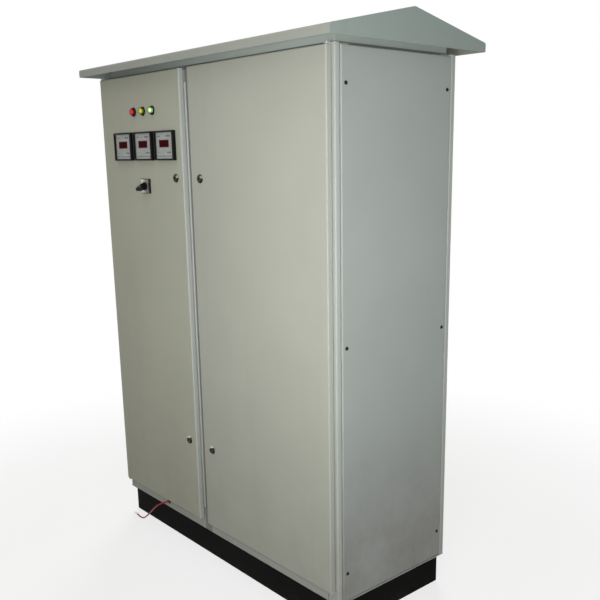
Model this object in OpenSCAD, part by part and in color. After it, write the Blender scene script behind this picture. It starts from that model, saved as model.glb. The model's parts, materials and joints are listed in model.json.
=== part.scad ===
// Floor-standing outdoor control cabinet with a gable canopy and two overlay doors.
// X runs to the right across the front, the doors face -Y, Z is up, the floor is z = 0.

/* [Body] */
// Width of the steel body
body_w = 1250; // [1150:10:1400]
// Depth of the body from the front frame face to the rear frame face
body_d = 485; // [440:5:600]
// Height of the body above the plinth
body_h = 1600; // [1560:10:1900]
// Thickness of the folded sheet
sheet = 2; // [1.5:0.1:2.5]
// Inside radius of the sheet's bends
bend_r = 2; // [1.5:0.1:2.5]
// Spare height of the sill above the door gasket
sill_spare = 21; // [12:1:40]
// Depth of a corner post along the side
post_side = 58; // [52:1:80]

/* [Plinth] */
// Height of the plinth
plinth_h = 100; // [70:5:150]
// Set-back of the plinth from the body on each side
plinth_inset = 15; // [10:1:30]
// Thickness of the plinth's channel
plinth_wall = 3; // [2:0.5:5]
// Width of the plinth's top and bottom flanges
plinth_flange = 45; // [40:1:70]
// Diameter of the floor anchor holes
anchor_d = 14; // [10:0.5:18]
// Distance of the plinth bolts from the plinth's ends
plinth_bolt_inset = 130; // [110:5:250]
// Thread diameter of the plinth bolts
plinth_bolt_d = 10; // [8:1:12]

/* [Doors] */
// Width of the right door as a share of the body's width
right_door_share = 0.52; // [0.5:0.01:0.54]
// Gap between the two doors
door_gap = 48; // [40:1:60]
// Margin between a door and the side of the body
door_margin = 10; // [8:1:16]
// Height of the door's bottom edge above the plinth
door_bottom = 44; // [35:1:60]
// Distance of the door's top edge below the body's top
door_top = 7; // [6:0.5:15]
// Depth of the folded door pan
door_depth = 17; // [16:0.5:24]
// Width of the door pan's rear lip
door_lip = 24; // [22:1:30]
// Gap between the door pan and the frame, filled by the gasket
gasket_gap = 4; // [4:0.5:6]
// Distance of the gasket from the door's edge
gasket_inset = 10; // [9:1:13]
// Width of the gasket strip
gasket_w = 10; // [6:1:11]
// Width of the mullion's brim behind each door
brim_lap = 26; // [23:1:28]
// Depth of the mullion's channel
mullion_depth = 38; // [30:1:60]
// Heights of the door stiffeners as shares of the door's height
stiffener_at = [0.26, 0.58];

/* [Door pivots] */
// Distance of the pivot axis from the door's outer side
pivot_side = 7.5; // [6.5:0.1:8]
// Distance of the pivot axis behind the door's front face
pivot_front = 9; // [8:0.1:9.4]
// Diameter of the pivot pins
pivot_d = 6; // [5:0.5:7]
// Running clearance of the pivot pins, on the radius
pivot_play = 0.05; // [0.03:0.01:0.1]
// Thickness of the hinge lugs
lug_t = 4; // [3:0.5:4]
// Gap between a lug and the door
lug_gap = 0.5; // [0.3:0.1:1]

/* [Panels] */
// Depth of the folded side and rear panels
panel_depth = 11; // [10:0.5:14]
// How far the side panels stand proud of the posts
panel_proud = 1; // [0:0.5:2]
// Visible width of a post beside the side panel
post_strip = 19; // [16:1:24]
// Gap between a post's step and the side panel
panel_gap = 2; // [1:0.5:3]
// Gap between the panels and the top and bottom of the body
panel_end_gap = 6; // [4:0.5:10]
// Distance of the side panel screws from the frame faces
screw_inset = 38; // [34:0.5:42]
// Heights of the panel screws as shares of the body's height
screw_at = [0.06, 0.494, 0.9375];
// Thread diameter of the panel screws
screw_d = 6; // [5:0.5:7]

/* [Canopy] */
// Overhang of the canopy beyond each side of the body
overhang_side = 55; // [40:1:90]
// Overhang of the canopy beyond the front and rear frame faces
overhang_front = 67; // [60:1:110]
// Height of the eaves above the body's top
eave_gap = 6; // [3:0.5:20]
// Height of the canopy's fascia
fascia_h = 25; // [20:1:50]
// Height of the ridge above the body's top
ridge_h = 100; // [80:1:160]
// Radius of the canopy's long bends
canopy_r = 6; // [4:0.5:10]
// Set-back of the canopy's neck from the body's sides
neck_inset = 20; // [10:1:40]
// Width of the neck's foot
neck_foot = 32; // [28:1:50]
// Distance of the end canopy bolts from the body's ends
canopy_bolt_inset = 125; // [100:5:300]
// Thread diameter of the canopy bolts
canopy_bolt_d = 8; // [6:1:10]

/* [Instruments] */
// Distance of the instruments' centre line from the closing edge, as a share of the left door's width
instrument_share = 0.439; // [0.43:0.001:0.5]
// Distance of the pilot lamps below the body's top
lamp_drop = 128; // [115:1:135]
// Pitch of the pilot lamps
lamp_pitch = 62; // [45:1:80]
// Diameter of a lamp's bezel
lamp_d = 30; // [26:1:32]
// Distance of the meters' centres below the body's top
meter_drop = 244; // [230:1:260]
// Pitch of the meters as a share of the left door's width
meter_pitch_share = 0.261; // [0.25:0.001:0.27]
// Gap between the meters' bezels
meter_space = 18; // [12:1:40]
// Height of a meter's bezel
meter_h = 96; // [80:1:110]
// How far a meter's bezel stands out from the door
meter_proud = 13; // [8:0.5:20]
// Depth of a meter's case behind the door's face
meter_case = 64; // [40:1:80]
// Distance of the selector switch below the body's top
switch_drop = 379; // [365:1:400]
// Distance of the selector's centre to the left of the instruments' centre line
switch_left = 6; // [0:1:12]
// Width of the selector's plate
switch_w = 60; // [52:1:64]
// Height of the selector's plate
switch_h = 50; // [46:1:60]
// Length of the selector lever from its axis
lever_len = 32; // [24:0.5:40]
// Turn of the lever at rest, clockwise from straight up
lever_rest = 248; // [180:1:270]

/* [Locks] */
// Distance of the left door's locks from its closing edge
left_lock_inset = 42; // [40:1:60]
// Distance of the right door's locks from its closing edge
right_lock_inset = 52; // [42:1:65]
// Distance of the upper locks below the body's top
lock_drop = 350; // [340:5:420]
// Height of the lower locks as a share of the body's height
lock_lower_share = 0.2106; // [0.17:0.005:0.22]
// Diameter of a lock's head
lock_head_d = 28; // [25:0.5:30]
// Diameter of a lock's barrel
lock_barrel_d = 20; // [18:0.5:22]
// Diameter of a lock's turning core
lock_core_d = 14; // [12:0.5:15]
// Running clearance of a lock's core, on the radius
lock_play = 0.05; // [0.03:0.01:0.1]

/* [Switchgear] */
// Distance of the mounting plate's sides from the sides of the body
plate_margin = 85; // [65:1:110]
// Distance of the mounting plate's bottom and top edges from those of the body
plate_z = 150; // [130:5:180]
// Distance of the mounting plate's face in front of the rear frame face
plate_back = 52; // [45:1:70]
// Thickness of the mounting plate
plate_t = 3; // [2:0.5:4]
// Height of the wiring ducts
duct_h = 60; // [40:1:80]
// Depth of the wiring ducts
duct_d = 60; // [40:1:80]
// Width of the main breaker
breaker_w = 140; // [105:1:160]
// Height of the main breaker as a share of the plate's height
breaker_share = 0.19; // [0.17:0.01:0.2]
// Depth of the main breaker
breaker_d = 105; // [90:1:120]
// Number of contactors
contactor_count = 3; // [1:1:3]
// Width of a contactor
contactor_w = 82; // [60:1:90]
// Height of a contactor
contactor_h = 110; // [80:1:120]
// Depth of a contactor
contactor_d = 100; // [80:1:110]
// Gap between contactors
contactor_space = 18; // [5:1:30]
// Length of the terminal strip
terminal_len = 600; // [400:25:800]
// Height of the terminal strip
terminal_h = 52; // [42:1:60]
// Depth of the terminal strip
terminal_d = 48; // [40:1:60]
// Height of the top-hat rails
rail_w = 35; // [30:1:40]
// Depth of the top-hat rails
rail_depth = 7.5; // [6:0.5:10]
// Diameter of a cable gland's thread
gland_d = 40; // [25:1:50]
// Width of the transformer's core
core_w = 240; // [200:5:280]
// Height of the transformer's core
core_h = 200; // [180:5:220]
// Depth of the transformer's core
core_d = 110; // [80:5:130]

/* [Hidden] */

$fn = 48;
bend_steps = 4;
cut = 1;

body_z = plinth_h;
body_top = plinth_h + body_h;
front_y = -body_d / 2;
rear_y = body_d / 2;
side_x = body_w / 2;
panel_margin = door_margin;

plinth_w = body_w - 2 * plinth_inset;
plinth_d = body_d - 2 * plinth_inset;
plinth_bolt_x = plinth_w / 2 - plinth_bolt_inset;
plinth_bolt_y = plinth_d / 2 - plinth_flange / 2;

post_face = door_margin + gasket_inset + gasket_w + 15;
seat_u = panel_depth - panel_proud;
sill_h = door_bottom + gasket_inset + gasket_w + sill_spare;
rail_h = door_top + gasket_inset + gasket_w + 23;
tray_len = body_w - 2 * post_face;

door_y = front_y - gasket_gap - door_depth;
door_z = body_z + door_bottom;
door_h = body_h - door_bottom - door_top;
right_door_w = right_door_share * body_w;
left_door_w = body_w - 2 * door_margin - door_gap - right_door_w;
left_door_x = -side_x + door_margin;
right_door_x = left_door_x + left_door_w + door_gap;
left_edge = left_door_x + left_door_w;
mullion_x = left_edge + door_gap / 2;
pivot_x = side_x - door_margin - pivot_side;
pivot_y = door_y + pivot_front;
pivot_block_w = 24;
pivot_block_h = 16;

panel_w = body_d - 2 * (post_strip + panel_gap);
panel_h = body_h - 2 * panel_end_gap;
screw_z = screw_at * body_h;
screw_clear = 0.3;
boss_d = screw_d + 6;
screw_len = panel_depth + 8;

canopy_w = body_w + 2 * overhang_side;
canopy_half = body_d / 2 + overhang_front;
eave_z = body_top + eave_gap;
fascia_top = eave_z + fascia_h;
ridge_z = body_top + ridge_h;
roof_angle = atan((ridge_z - fascia_top) / canopy_half);
roof_drop = sheet / cos(roof_angle);

meter_x = left_edge - instrument_share * left_door_w;
meter_pitch = meter_pitch_share * left_door_w;
meter_w = meter_pitch - meter_space;
lamp_z = body_h - lamp_drop;
meter_z = body_h - meter_drop;
switch_x = meter_x - switch_left;
switch_z = body_h - switch_drop;
lock_upper_z = body_h - lock_drop;
lock_lower_z = lock_lower_share * body_h;
instrument_face = 6;
lock_head_h = 5;
lock_reach = door_depth + gasket_gap + 5;
cam_gap = 0.3;
cam_t = 3;
cam_w = 14;

plate_y = rear_y - plate_back;
plate_w = body_w - 2 * plate_margin;
plate_h = body_h - 2 * plate_z;
plate_bottom = body_z + plate_z;
rail_z = [plate_bottom + 0.254 * plate_h, plate_bottom + 0.615 * plate_h];
duct_z = [plate_bottom + 0.108 * plate_h, plate_bottom + 0.4 * plate_h, plate_bottom + 0.725 * plate_h];
duct_len = 0.945 * plate_w;
breaker_h = breaker_share * plate_h;
breaker_x = -0.315 * plate_w;
breaker_z = plate_bottom + 0.975 * plate_h - breaker_h;
contactor_pitch = contactor_w + contactor_space;
toggle_r = 12;
toggle_w = 28;
toggle_d = 6;
core_x = 0.232 * body_w;
core_leg = core_w / 3;
gland_x = -0.2 * body_w;
gland_pitch = 3 * gland_d;
gland_w = 10.5 * gland_d;
gland_depth = 4.75 * gland_d;
gland_hex = 1.25 * gland_d;

// Red lead: its route in millimetres, from behind the sill to its lug on the floor
lead_d = 5.5;
lead_sides = 8;
lead_hole = [-330, 126];
lead_route = [[-330, front_y + 10, 126], [-330, front_y, 126], [-331, -254, 126], [-336, -263, 124],
    [-346, -270, 119], [-360, -275, 110], [-376, -277, 98], [-393, -277, 84], [-410, -276, 70],
    [-427, -275, 56], [-444, -274, 42], [-461, -273, 29], [-478, -272, 17], [-496, -271, 8],
    [-514, -270, 4], [-532, -268, 3], [-548, -266, 3]];
lug_len = 22;

// Vector helpers for folded sheet
function unit(v) = v / norm(v);
function left_of(v) = [-v[1], v[0]];
function flip(list) = [for (i = [len(list) - 1 : -1 : 0]) list[i]];
function step_angle(k) = 90 * k / bend_steps;

// One face of a folded sheet: the path moved to its left by off, with round right-angled bends
function fold_face(path, off, t, r) = [
    for (i = [0 : len(path) - 1]) each
        i == 0 ? [path[0] + off * left_of(unit(path[1] - path[0]))]
        : i == len(path) - 1 ? [path[i] + off * left_of(unit(path[i] - path[i - 1]))]
        : let (a = unit(path[i] - path[i - 1]),
               b = unit(path[i + 1] - path[i]),
               turn = sign(cross(a, b)),
               outer = turn > 0 ? r + t : r,
               centre = path[i] + outer * (b - a),
               rad = outer - turn * off)
          [for (k = [0 : bend_steps])
              centre + rad * (sin(step_angle(k)) * a - turn * cos(step_angle(k)) * left_of(a))]
];

// Section of a folded sheet whose outer face follows the path, with the sheet on its left
module folded(path, t = sheet, r = bend_r) {
    polygon(concat(fold_face(path, 0, t, r), flip(fold_face(path, t, t, r))));
}

// Points of a rounded corner P between its neighbours A and B
function fillet(A, P, B, r) =
    let (a = unit(A - P), b = unit(B - P),
         half = acos(a * b) / 2,
         centre = P + unit(a + b) * r / sin(half),
         from = unit(P + a * r / tan(half) - centre),
         to = unit(P + b * r / tan(half) - centre))
    [for (k = [0 : bend_steps]) centre + r * unit((bend_steps - k) * from + k * to)];

function arc(centre, r, start) =
    [for (k = [0 : bend_steps]) centre + r * [cos(start + step_angle(k)), sin(start + step_angle(k))]];

// Box centred on the Z axis between two heights
module block(w, d, z0, z1) {
    translate([-w / 2, -d / 2, z0]) cube([w, d, z1 - z0]);
}

// Section in the YZ plane run along X, centred on x = 0
module along_x(len) {
    translate([-len / 2, 0, 0]) rotate([90, 0, 90]) linear_extrude(len) children();
}

// Turns a shape's Z axis to point into the cabinet
module into_cabinet(x, y, z) {
    translate([x, y, z]) rotate([-90, 0, 0]) children();
}

module both_sides() {
    children();
    mirror([1, 0, 0]) children();
}

module front_and_rear() {
    children();
    mirror([0, 1, 0]) children();
}

// Box with its front edges rounded: front face on y = 0, corner at the origin
module soft_box(w, d, h, r) {
    intersection() {
        linear_extrude(h) front_rounded(w, d, r);
        translate([0, 0, h]) rotate([0, 90, 0]) linear_extrude(w) front_rounded(h, d, r);
    }
}

module front_rounded(w, d, r) {
    polygon(concat([[0, d]], arc([r, r], r, 180), arc([w - r, r], r, 270), [[w, d]]));
}

// Pan folded from one sheet, open at the back
module pan(w, d, h) {
    difference() {
        soft_box(w, d, h, bend_r + sheet);
        translate([sheet, sheet, sheet]) soft_box(w - 2 * sheet, d, h - 2 * sheet, bend_r);
    }
}

// Flat rectangular ring standing in the XZ plane
module ring(w, d, h, band) {
    difference() {
        cube([w, d, h]);
        translate([band, -cut, band]) cube([w - 2 * band, d + 2 * cut, h - 2 * band]);
    }
}

module hex(across, h) {
    cylinder(d = across / cos(30), h = h, $fn = 6);
}

// Plinth: welded ring of channel with floor anchor holes
module plinth() {
    color("#1c1c1d") difference() {
        block(plinth_w, plinth_d, 0, plinth_h);
        block(plinth_w - 2 * plinth_wall, plinth_d - 2 * plinth_wall, plinth_wall, plinth_h - plinth_wall);
        block(plinth_w - 2 * plinth_flange, plinth_d - 2 * plinth_flange, -cut, plinth_h + cut);
        both_sides() front_and_rear() {
            translate([plinth_w / 2 - plinth_flange / 2, plinth_d / 2 - plinth_flange / 2, -cut])
                cylinder(d = anchor_d, h = plinth_wall + 2 * cut);
            plinth_bolt_hole(plinth_h - plinth_wall - cut, plinth_wall + 2 * cut);
        }
    }
}

module plinth_bolt_hole(z, h) {
    translate([plinth_bolt_x, plinth_bolt_y, z]) cylinder(d = plinth_bolt_d + 1, h = h);
}

module plinth_bolts() {
    head_h = 0.64 * plinth_bolt_d;
    nut_h = 0.8 * plinth_bolt_d;
    color("silver") both_sides() front_and_rear() translate([plinth_bolt_x, plinth_bolt_y, 0]) {
        translate([0, 0, body_z + sheet]) hex(1.7 * plinth_bolt_d, head_h);
        translate([0, 0, body_z - plinth_wall - nut_h]) hex(1.7 * plinth_bolt_d, nut_h);
        translate([0, 0, body_z - plinth_wall - nut_h - 4])
            cylinder(d = plinth_bolt_d, h = plinth_wall + nut_h + 4 + sheet + head_h / 2);
    }
}

// Flange along the side of a tray, level with the posts' panel seats
module side_curb(z0, z1) {
    both_sides() translate([side_x - seat_u - sheet, -rear_y + post_side, z0])
        cube([sheet, body_d - 2 * post_side, z1 - z0]);
}

// Sheet under or over the posts at the two ends of a tray
module end_plates(z) {
    both_sides() translate([tray_len / 2, -rear_y, z]) cube([post_face, body_d, sheet]);
}

// Base tray: floor, front and rear sills and side curbs in one piece
module base_tray() {
    color("#c4c6bc") difference() {
        union() {
            along_x(tray_len) folded([[front_y, body_z + sill_h], [front_y, body_z],
                [rear_y, body_z], [rear_y, body_z + sill_h]]);
            end_plates(body_z);
            side_curb(body_z, body_z + sill_h);
        }
        translate([gland_x, 0, 0]) block(gland_w - 60, gland_depth - 60, body_z - cut, body_z + sheet + cut);
        both_sides() front_and_rear() plinth_bolt_hole(body_z - cut, sheet + 2 * cut);
        into_cabinet(lead_hole[0], front_y - cut, lead_hole[1]) cylinder(d = lead_d + 4.5, h = sheet + 2 * cut);
    }
}

module gland_plate() {
    color("#b9bcbc") difference() {
        translate([gland_x, 0, 0]) block(gland_w, gland_depth, body_z + sheet, body_z + 2 * sheet);
        at_glands() translate([0, 0, -cut]) cylinder(d = gland_d + 1, h = sheet + 2 * cut);
    }
}

module at_glands() {
    for (i = [-1 : 1]) translate([gland_x + i * gland_pitch, 0, body_z + sheet]) children();
}

// Cable glands with unpierced seals
module cable_glands() {
    color("#2a2b2d") at_glands() {
        translate([0, 0, sheet]) hex(gland_hex, 0.22 * gland_d);
        translate([0, 0, sheet + 0.22 * gland_d]) rotate_extrude() polygon(gland_d * [[0, 0], [0.6, 0], [0.6, 0.35],
            [0.42, 0.6], [0.32, 0.6], [0.32, 0.4], [0, 0.4]]);
        translate([0, 0, -0.25 * gland_d]) cylinder(d = gland_d, h = 0.3 * gland_d + sheet);
        translate([0, 0, -0.2 * gland_d]) hex(gland_hex, 0.2 * gland_d);
    }
}

// Corner post: sealing face behind the door, corner, and a stepped seat for the side panel
module corner_posts() {
    path = [[seat_u, post_side], [seat_u, post_strip], [0, post_strip], [0, 0], [post_face, 0], [post_face, 14]];
    color("#c4c6bc") both_sides() {
        post(path);
        mirror([0, 1, 0]) difference() {
            post(path);
            for (z = screw_z) into_cabinet(-side_x + rear_screw_u, front_y - cut, body_z + z)
                cylinder(d = screw_d + screw_clear, h = sheet + 2 * cut);
        }
    }
}

rear_screw_u = post_face - 12;

module post(path) {
    difference() {
        translate([-side_x, front_y, body_z + sheet]) linear_extrude(body_h - 2 * sheet) folded(path);
        for (z = screw_z) translate([-side_x, front_y + screw_inset, body_z + z])
            rotate([0, 90, 0]) cylinder(d = screw_d + screw_clear, h = seat_u + 2 * sheet);
    }
}

// Mullion: hat section with its brims behind the doors' closing edges
module mullion() {
    half = door_gap / 2 + brim_lap;
    web = door_gap / 2 - 4;
    color("#b9bbb2") translate([mullion_x, front_y, 0]) {
        translate([0, 0, body_z + sill_h]) linear_extrude(body_h - sill_h - rail_h)
            folded([[-half, 0], [-web, 0], [-web, mullion_depth], [web, mullion_depth], [web, 0], [half, 0]]);
        translate([0, 0, body_z + sheet]) linear_extrude(body_h - 2 * sheet) difference() {
            folded([[-web, 0], [-web, mullion_depth], [web, mullion_depth], [web, 0]]);
            translate([-half, -cut]) square([2 * half, cut + sheet + bend_r]);
        }
    }
}

// Top deck: roof sheet of the body with its front and rear rails
module top_deck() {
    color("#c4c6bc") difference() {
        union() {
            along_x(tray_len) folded([[rear_y, body_top - rail_h], [rear_y, body_top],
                [front_y, body_top], [front_y, body_top - rail_h]]);
            end_plates(body_top - sheet);
            side_curb(body_top - rail_h, body_top);
        }
        at_canopy_bolts() translate([0, 0, -sheet - cut]) cylinder(d = canopy_bolt_d + 1, h = sheet + 2 * cut);
    }
}

module at_canopy_bolts() {
    y = rear_y - neck_inset - sheet - neck_foot / 2;
    for (x = [-1 : 1]) front_and_rear() translate([x * (side_x - canopy_bolt_inset), y, body_top]) children();
}

// Outline of the canopy's hollow, from below its eaves to the underside of its slopes
function roof_inside(bottom) =
    let (half = canopy_half - sheet,
         shoulder = ridge_z - roof_drop - half * tan(roof_angle))
    [[-half, bottom], [-half, shoulder], [0, ridge_z - roof_drop], [half, shoulder], [half, bottom]];

// Neck: upright frame between the deck and the canopy's slopes
module canopy_neck() {
    outer_w = body_w - 2 * neck_inset;
    outer_d = body_d - 2 * neck_inset;
    color("#c0c2b9") difference() {
        intersection() {
            block(outer_w, outer_d, body_top, ridge_z);
            along_x(canopy_w) polygon(roof_inside(body_top - cut));
        }
        block(outer_w - 2 * sheet, outer_d - 2 * sheet, body_top + sheet, ridge_z);
        block(outer_w - 2 * neck_foot, outer_d - 2 * (neck_foot + sheet), body_top - cut, ridge_z);
        at_canopy_bolts() translate([0, 0, -cut]) cylinder(d = canopy_bolt_d + 1, h = sheet + 2 * cut);
    }
}

// Canopy: two slopes and fascias folded from one sheet, with welded gable ends
module canopy() {
    A = [-canopy_half, eave_z];
    B = [-canopy_half, fascia_top];
    C = [0, ridge_z];
    D = [canopy_half, fascia_top];
    E = [canopy_half, eave_z];
    color("#d2d4ca") difference() {
        along_x(canopy_w) polygon(concat([A], fillet(A, B, C, canopy_r), fillet(B, C, D, 4 * canopy_r),
            fillet(C, D, E, canopy_r), [E]));
        along_x(canopy_w - 2 * sheet) polygon(roof_inside(eave_z - cut));
    }
}

module canopy_bolts() {
    head_h = 0.65 * canopy_bolt_d;
    nut_h = 0.8 * canopy_bolt_d;
    color("silver") at_canopy_bolts() {
        translate([0, 0, -sheet - head_h]) hex(1.6 * canopy_bolt_d, head_h);
        translate([0, 0, -sheet - head_h / 2])
            cylinder(d = canopy_bolt_d, h = head_h / 2 + 2 * sheet + nut_h + 3);
        translate([0, 0, sheet]) hex(1.6 * canopy_bolt_d, nut_h);
    }
}

// Panel with a welded boss behind each screw hole
module screwed_panel(w, screws) {
    difference() {
        union() {
            pan(w, panel_depth, panel_h);
            for (p = screws) into_cabinet(p[0], sheet / 2, p[1]) cylinder(d = boss_d, h = panel_depth - sheet / 2);
        }
        for (p = screws) into_cabinet(p[0], -cut, p[1])
            cylinder(d = screw_d + screw_clear, h = panel_depth + 2 * cut);
    }
}

side_screw_x = screw_inset - post_strip - panel_gap;
side_screws = [for (x = [side_screw_x, panel_w - side_screw_x], z = screw_z) [x, z - panel_end_gap]];
rear_w = body_w - 2 * panel_margin;
rear_screw_x = rear_screw_u - panel_margin;
rear_screws = [for (x = [rear_screw_x, rear_w - rear_screw_x], z = screw_z) [x, z - panel_end_gap]];

// Places a side panel's own frame on the right side of the body
module on_right_side() {
    translate([side_x + panel_proud, -panel_w / 2, body_z + panel_end_gap]) rotate([0, 0, 90]) children();
}

module on_rear() {
    translate([rear_w / 2, rear_y + panel_depth, body_z + panel_end_gap]) rotate([0, 0, 180]) children();
}

module right_side_panel() {
    color("#bfc3bf") on_right_side() screwed_panel(panel_w, side_screws);
}

module left_side_panel() {
    color("#bfc3bf") mirror([1, 0, 0]) on_right_side() screwed_panel(panel_w, side_screws);
}

module rear_panel() {
    color("#bfc3bf") on_rear() screwed_panel(rear_w, rear_screws);
}

// Dome-headed screw with a hexagon socket, its head on z = 0 and its shank along +Z
module dome_screw() {
    head_r = 0.92 * screw_d;
    head_h = 0.52 * screw_d;
    difference() {
        union() {
            rotate_extrude() polygon([[0, 0], [head_r, 0], [0.93 * head_r, -0.45 * head_h],
                [0.7 * head_r, -0.85 * head_h], [0.4 * head_r, -head_h], [0, -head_h]]);
            translate([0, 0, -head_h / 2]) cylinder(d = screw_d, h = screw_len + head_h / 2);
        }
        translate([0, 0, -head_h - cut]) cylinder(d = 0.6 * screw_d, h = head_h / 2 + cut, $fn = 6);
    }
}

module right_panel_screws() {
    color("#26282a") on_right_side() for (p = side_screws) into_cabinet(p[0], 0, p[1]) dome_screw();
}

module left_panel_screws() {
    color("#26282a") mirror([1, 0, 0]) on_right_side() for (p = side_screws)
        into_cabinet(p[0], 0, p[1]) dome_screw();
}

module rear_panel_screws() {
    color("#26282a") on_rear() for (p = rear_screws) into_cabinet(p[0], 0, p[1]) dome_screw();
}

// Hinge lugs welded to the frame above and below the doors' outer corners
lug_low = door_z - lug_gap - lug_t;
lug_high = door_z + door_h + lug_gap;
lug_r = 7;

module hinge_lugs() {
    color("#c4c6bc") both_sides() for (z = [lug_low, lug_high]) translate([pivot_x, pivot_y, z]) difference() {
        union() {
            cylinder(r = lug_r, h = lug_t);
            translate([-lug_r, 0, 0]) cube([2 * lug_r, front_y - pivot_y, lug_t]);
        }
        translate([0, 0, -cut]) cylinder(d = pivot_d + pivot_play, h = lug_t + 2 * cut);
    }
}

module pivot_pins() {
    head_h = 2;
    reach = lug_t + lug_gap + sheet + pivot_block_h - 2;
    color("#8f9294") both_sides() {
        translate([pivot_x, pivot_y, lug_low]) pivot_pin(head_h, reach);
        translate([pivot_x, pivot_y, lug_high + lug_t]) mirror([0, 0, 1]) pivot_pin(head_h, reach);
    }
}

module pivot_pin(head_h, reach) {
    translate([0, 0, -head_h]) cylinder(d = pivot_d + 4, h = head_h);
    translate([0, 0, -head_h / 2]) cylinder(d = pivot_d, h = reach + head_h / 2);
}

// Door pan with its rear lip and the clearance holes of its pivots
module door_pan(w, pivot) {
    difference() {
        union() {
            pan(w, door_depth, door_h);
            translate([sheet / 2, door_depth - sheet, sheet / 2])
                ring(w - sheet, sheet, door_h - sheet, door_lip - sheet / 2);
        }
        translate([pivot, pivot_front, -cut]) cylinder(d = pivot_d + 2, h = sheet + 2 * cut);
        translate([pivot, pivot_front, door_h - sheet - cut]) cylinder(d = pivot_d + 2, h = sheet + 2 * cut);
    }
}

module at_door(x) {
    translate([x, door_y, door_z]) children();
}

// Hole from the front of a door's sheet at a place of the whole cabinet
module door_hole(x, z, d) {
    into_cabinet(x, door_y - cut, z) cylinder(d = d, h = sheet + 2 * cut);
}

module left_door() {
    color("#c9cac0") difference() {
        at_door(left_door_x) door_pan(left_door_w, pivot_side);
        for (i = [-1 : 1]) {
            translate([meter_x + i * meter_pitch - meter_w / 2 + 3, door_y - cut, body_z + meter_z - meter_h / 2 + 3])
                cube([meter_w - 6, sheet + 2 * cut, meter_h - 6]);
            door_hole(meter_x + i * lamp_pitch, body_z + lamp_z, lamp_barrel_d + 0.5);
        }
        door_hole(switch_x, body_z + switch_z, shaft_d + 4);
        for (z = [lock_lower_z, lock_upper_z]) door_hole(left_lock_x, body_z + z, lock_barrel_d + 0.2);
    }
}

module right_door() {
    color("#c9cac0") difference() {
        at_door(right_door_x) door_pan(right_door_w, right_door_w - pivot_side);
        for (z = [lock_lower_z, lock_upper_z]) door_hole(right_lock_x, body_z + z, lock_barrel_d + 0.2);
    }
}

// Hat-section stiffeners across the inside of a door, between its lips
module door_stiffeners(x, w) {
    crown = door_depth - sheet - 3;
    length = w - 2 * door_lip;
    translate([x + w / 2, door_y + sheet, door_z]) for (k = stiffener_at) translate([0, 0, k * door_h])
        along_x(length) folded([[1.5, -32], [1.5, -20], [crown, -20], [crown, 20], [1.5, 20], [1.5, 32]], 1.5);
}

module left_door_stiffeners() {
    color("#c4c6bc") door_stiffeners(left_door_x, left_door_w);
}

module right_door_stiffeners() {
    color("#c4c6bc") door_stiffeners(right_door_x, right_door_w);
}

// Pivot blocks welded into the outer corners of the right door, with the running bores
module door_pivot_blocks() {
    depth = door_depth - 2 * sheet - bend_r;
    for (z = [door_z + sheet, door_z + door_h - sheet - pivot_block_h]) difference() {
        translate([side_x - door_margin - sheet - pivot_block_w, door_y + sheet + bend_r, z])
            cube([pivot_block_w, depth, pivot_block_h]);
        translate([pivot_x, pivot_y, z - cut]) cylinder(d = pivot_d + 2 * pivot_play, h = pivot_block_h + 2 * cut);
    }
}

module right_pivot_blocks() {
    color("#8f9294") door_pivot_blocks();
}

module left_pivot_blocks() {
    color("#8f9294") mirror([1, 0, 0]) door_pivot_blocks();
}

// Gasket strip on a door's lip, just clear of the frame
module door_gasket(x, w) {
    translate([x + gasket_inset, door_y + door_depth, door_z + gasket_inset])
        ring(w - 2 * gasket_inset, gasket_gap - 0.3, door_h - 2 * gasket_inset, gasket_w);
}

module left_door_gasket() {
    color("#202022") door_gasket(left_door_x, left_door_w);
}

module right_door_gasket() {
    color("#202022") door_gasket(right_door_x, right_door_w);
}

// Quarter-turn locks
left_lock_x = left_edge - left_lock_inset;
right_lock_x = right_door_x + right_lock_inset;

module lock_housing(x, z) {
    head_r = lock_head_d / 2;
    core_r = lock_core_d / 2 + lock_play;
    into_cabinet(x, door_y, body_z + z) difference() {
        union() {
            rotate_extrude() polygon([[0, 0], [head_r, 0], [head_r, -1.5], [head_r - 1, -3.6],
                [head_r - 2.6, -lock_head_h], [0, -lock_head_h]]);
            translate([0, 0, -lock_head_h / 2]) cylinder(d = lock_barrel_d, h = lock_head_h / 2 + lock_reach);
            translate([0, 0, sheet]) hex(lock_barrel_d + 7, 5);
        }
        translate([0, 0, -lock_head_h - cut]) cylinder(r = core_r, h = lock_head_h + lock_reach + 2 * cut);
    }
}

// Core with its key socket, and the cam with its screw, hanging down at rest
module lock_cam(x, z, reach) {
    into_cabinet(x, door_y, body_z + z) difference() {
        union() {
            translate([0, 0, 1 - lock_head_h]) cylinder(d = lock_core_d, h = lock_head_h - 1 + lock_reach + cam_gap);
            translate([0, 0, lock_reach + cam_gap]) {
                cylinder(d = cam_w, h = cam_t);
                translate([-cam_w / 2, 0, 0]) cube([cam_w, reach, cam_t]);
                translate([0, 0, cam_t]) hex(10, 3.5);
            }
        }
        translate([0, 0, -lock_head_h]) cylinder(d = lock_core_d - 4, h = 6);
    }
    into_cabinet(x, door_y, body_z + z) translate([-1.2, -3, -2.5]) cube([2.4, 6, 5]);
}

module left_lock_housings() {
    color("#d8dadb") for (z = [lock_lower_z, lock_upper_z]) lock_housing(left_lock_x, z);
}

module right_lock_housings() {
    color("#d8dadb") for (z = [lock_lower_z, lock_upper_z]) lock_housing(right_lock_x, z);
}

module left_upper_lock_cam() {
    color("#b4b7b9") lock_cam(left_lock_x, lock_upper_z, left_lock_inset - brim_lap / 2);
}

module left_lower_lock_cam() {
    color("#b4b7b9") lock_cam(left_lock_x, lock_lower_z, left_lock_inset - brim_lap / 2);
}

module right_upper_lock_cam() {
    color("#b4b7b9") lock_cam(right_lock_x, lock_upper_z, right_lock_inset - brim_lap / 2);
}

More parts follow.
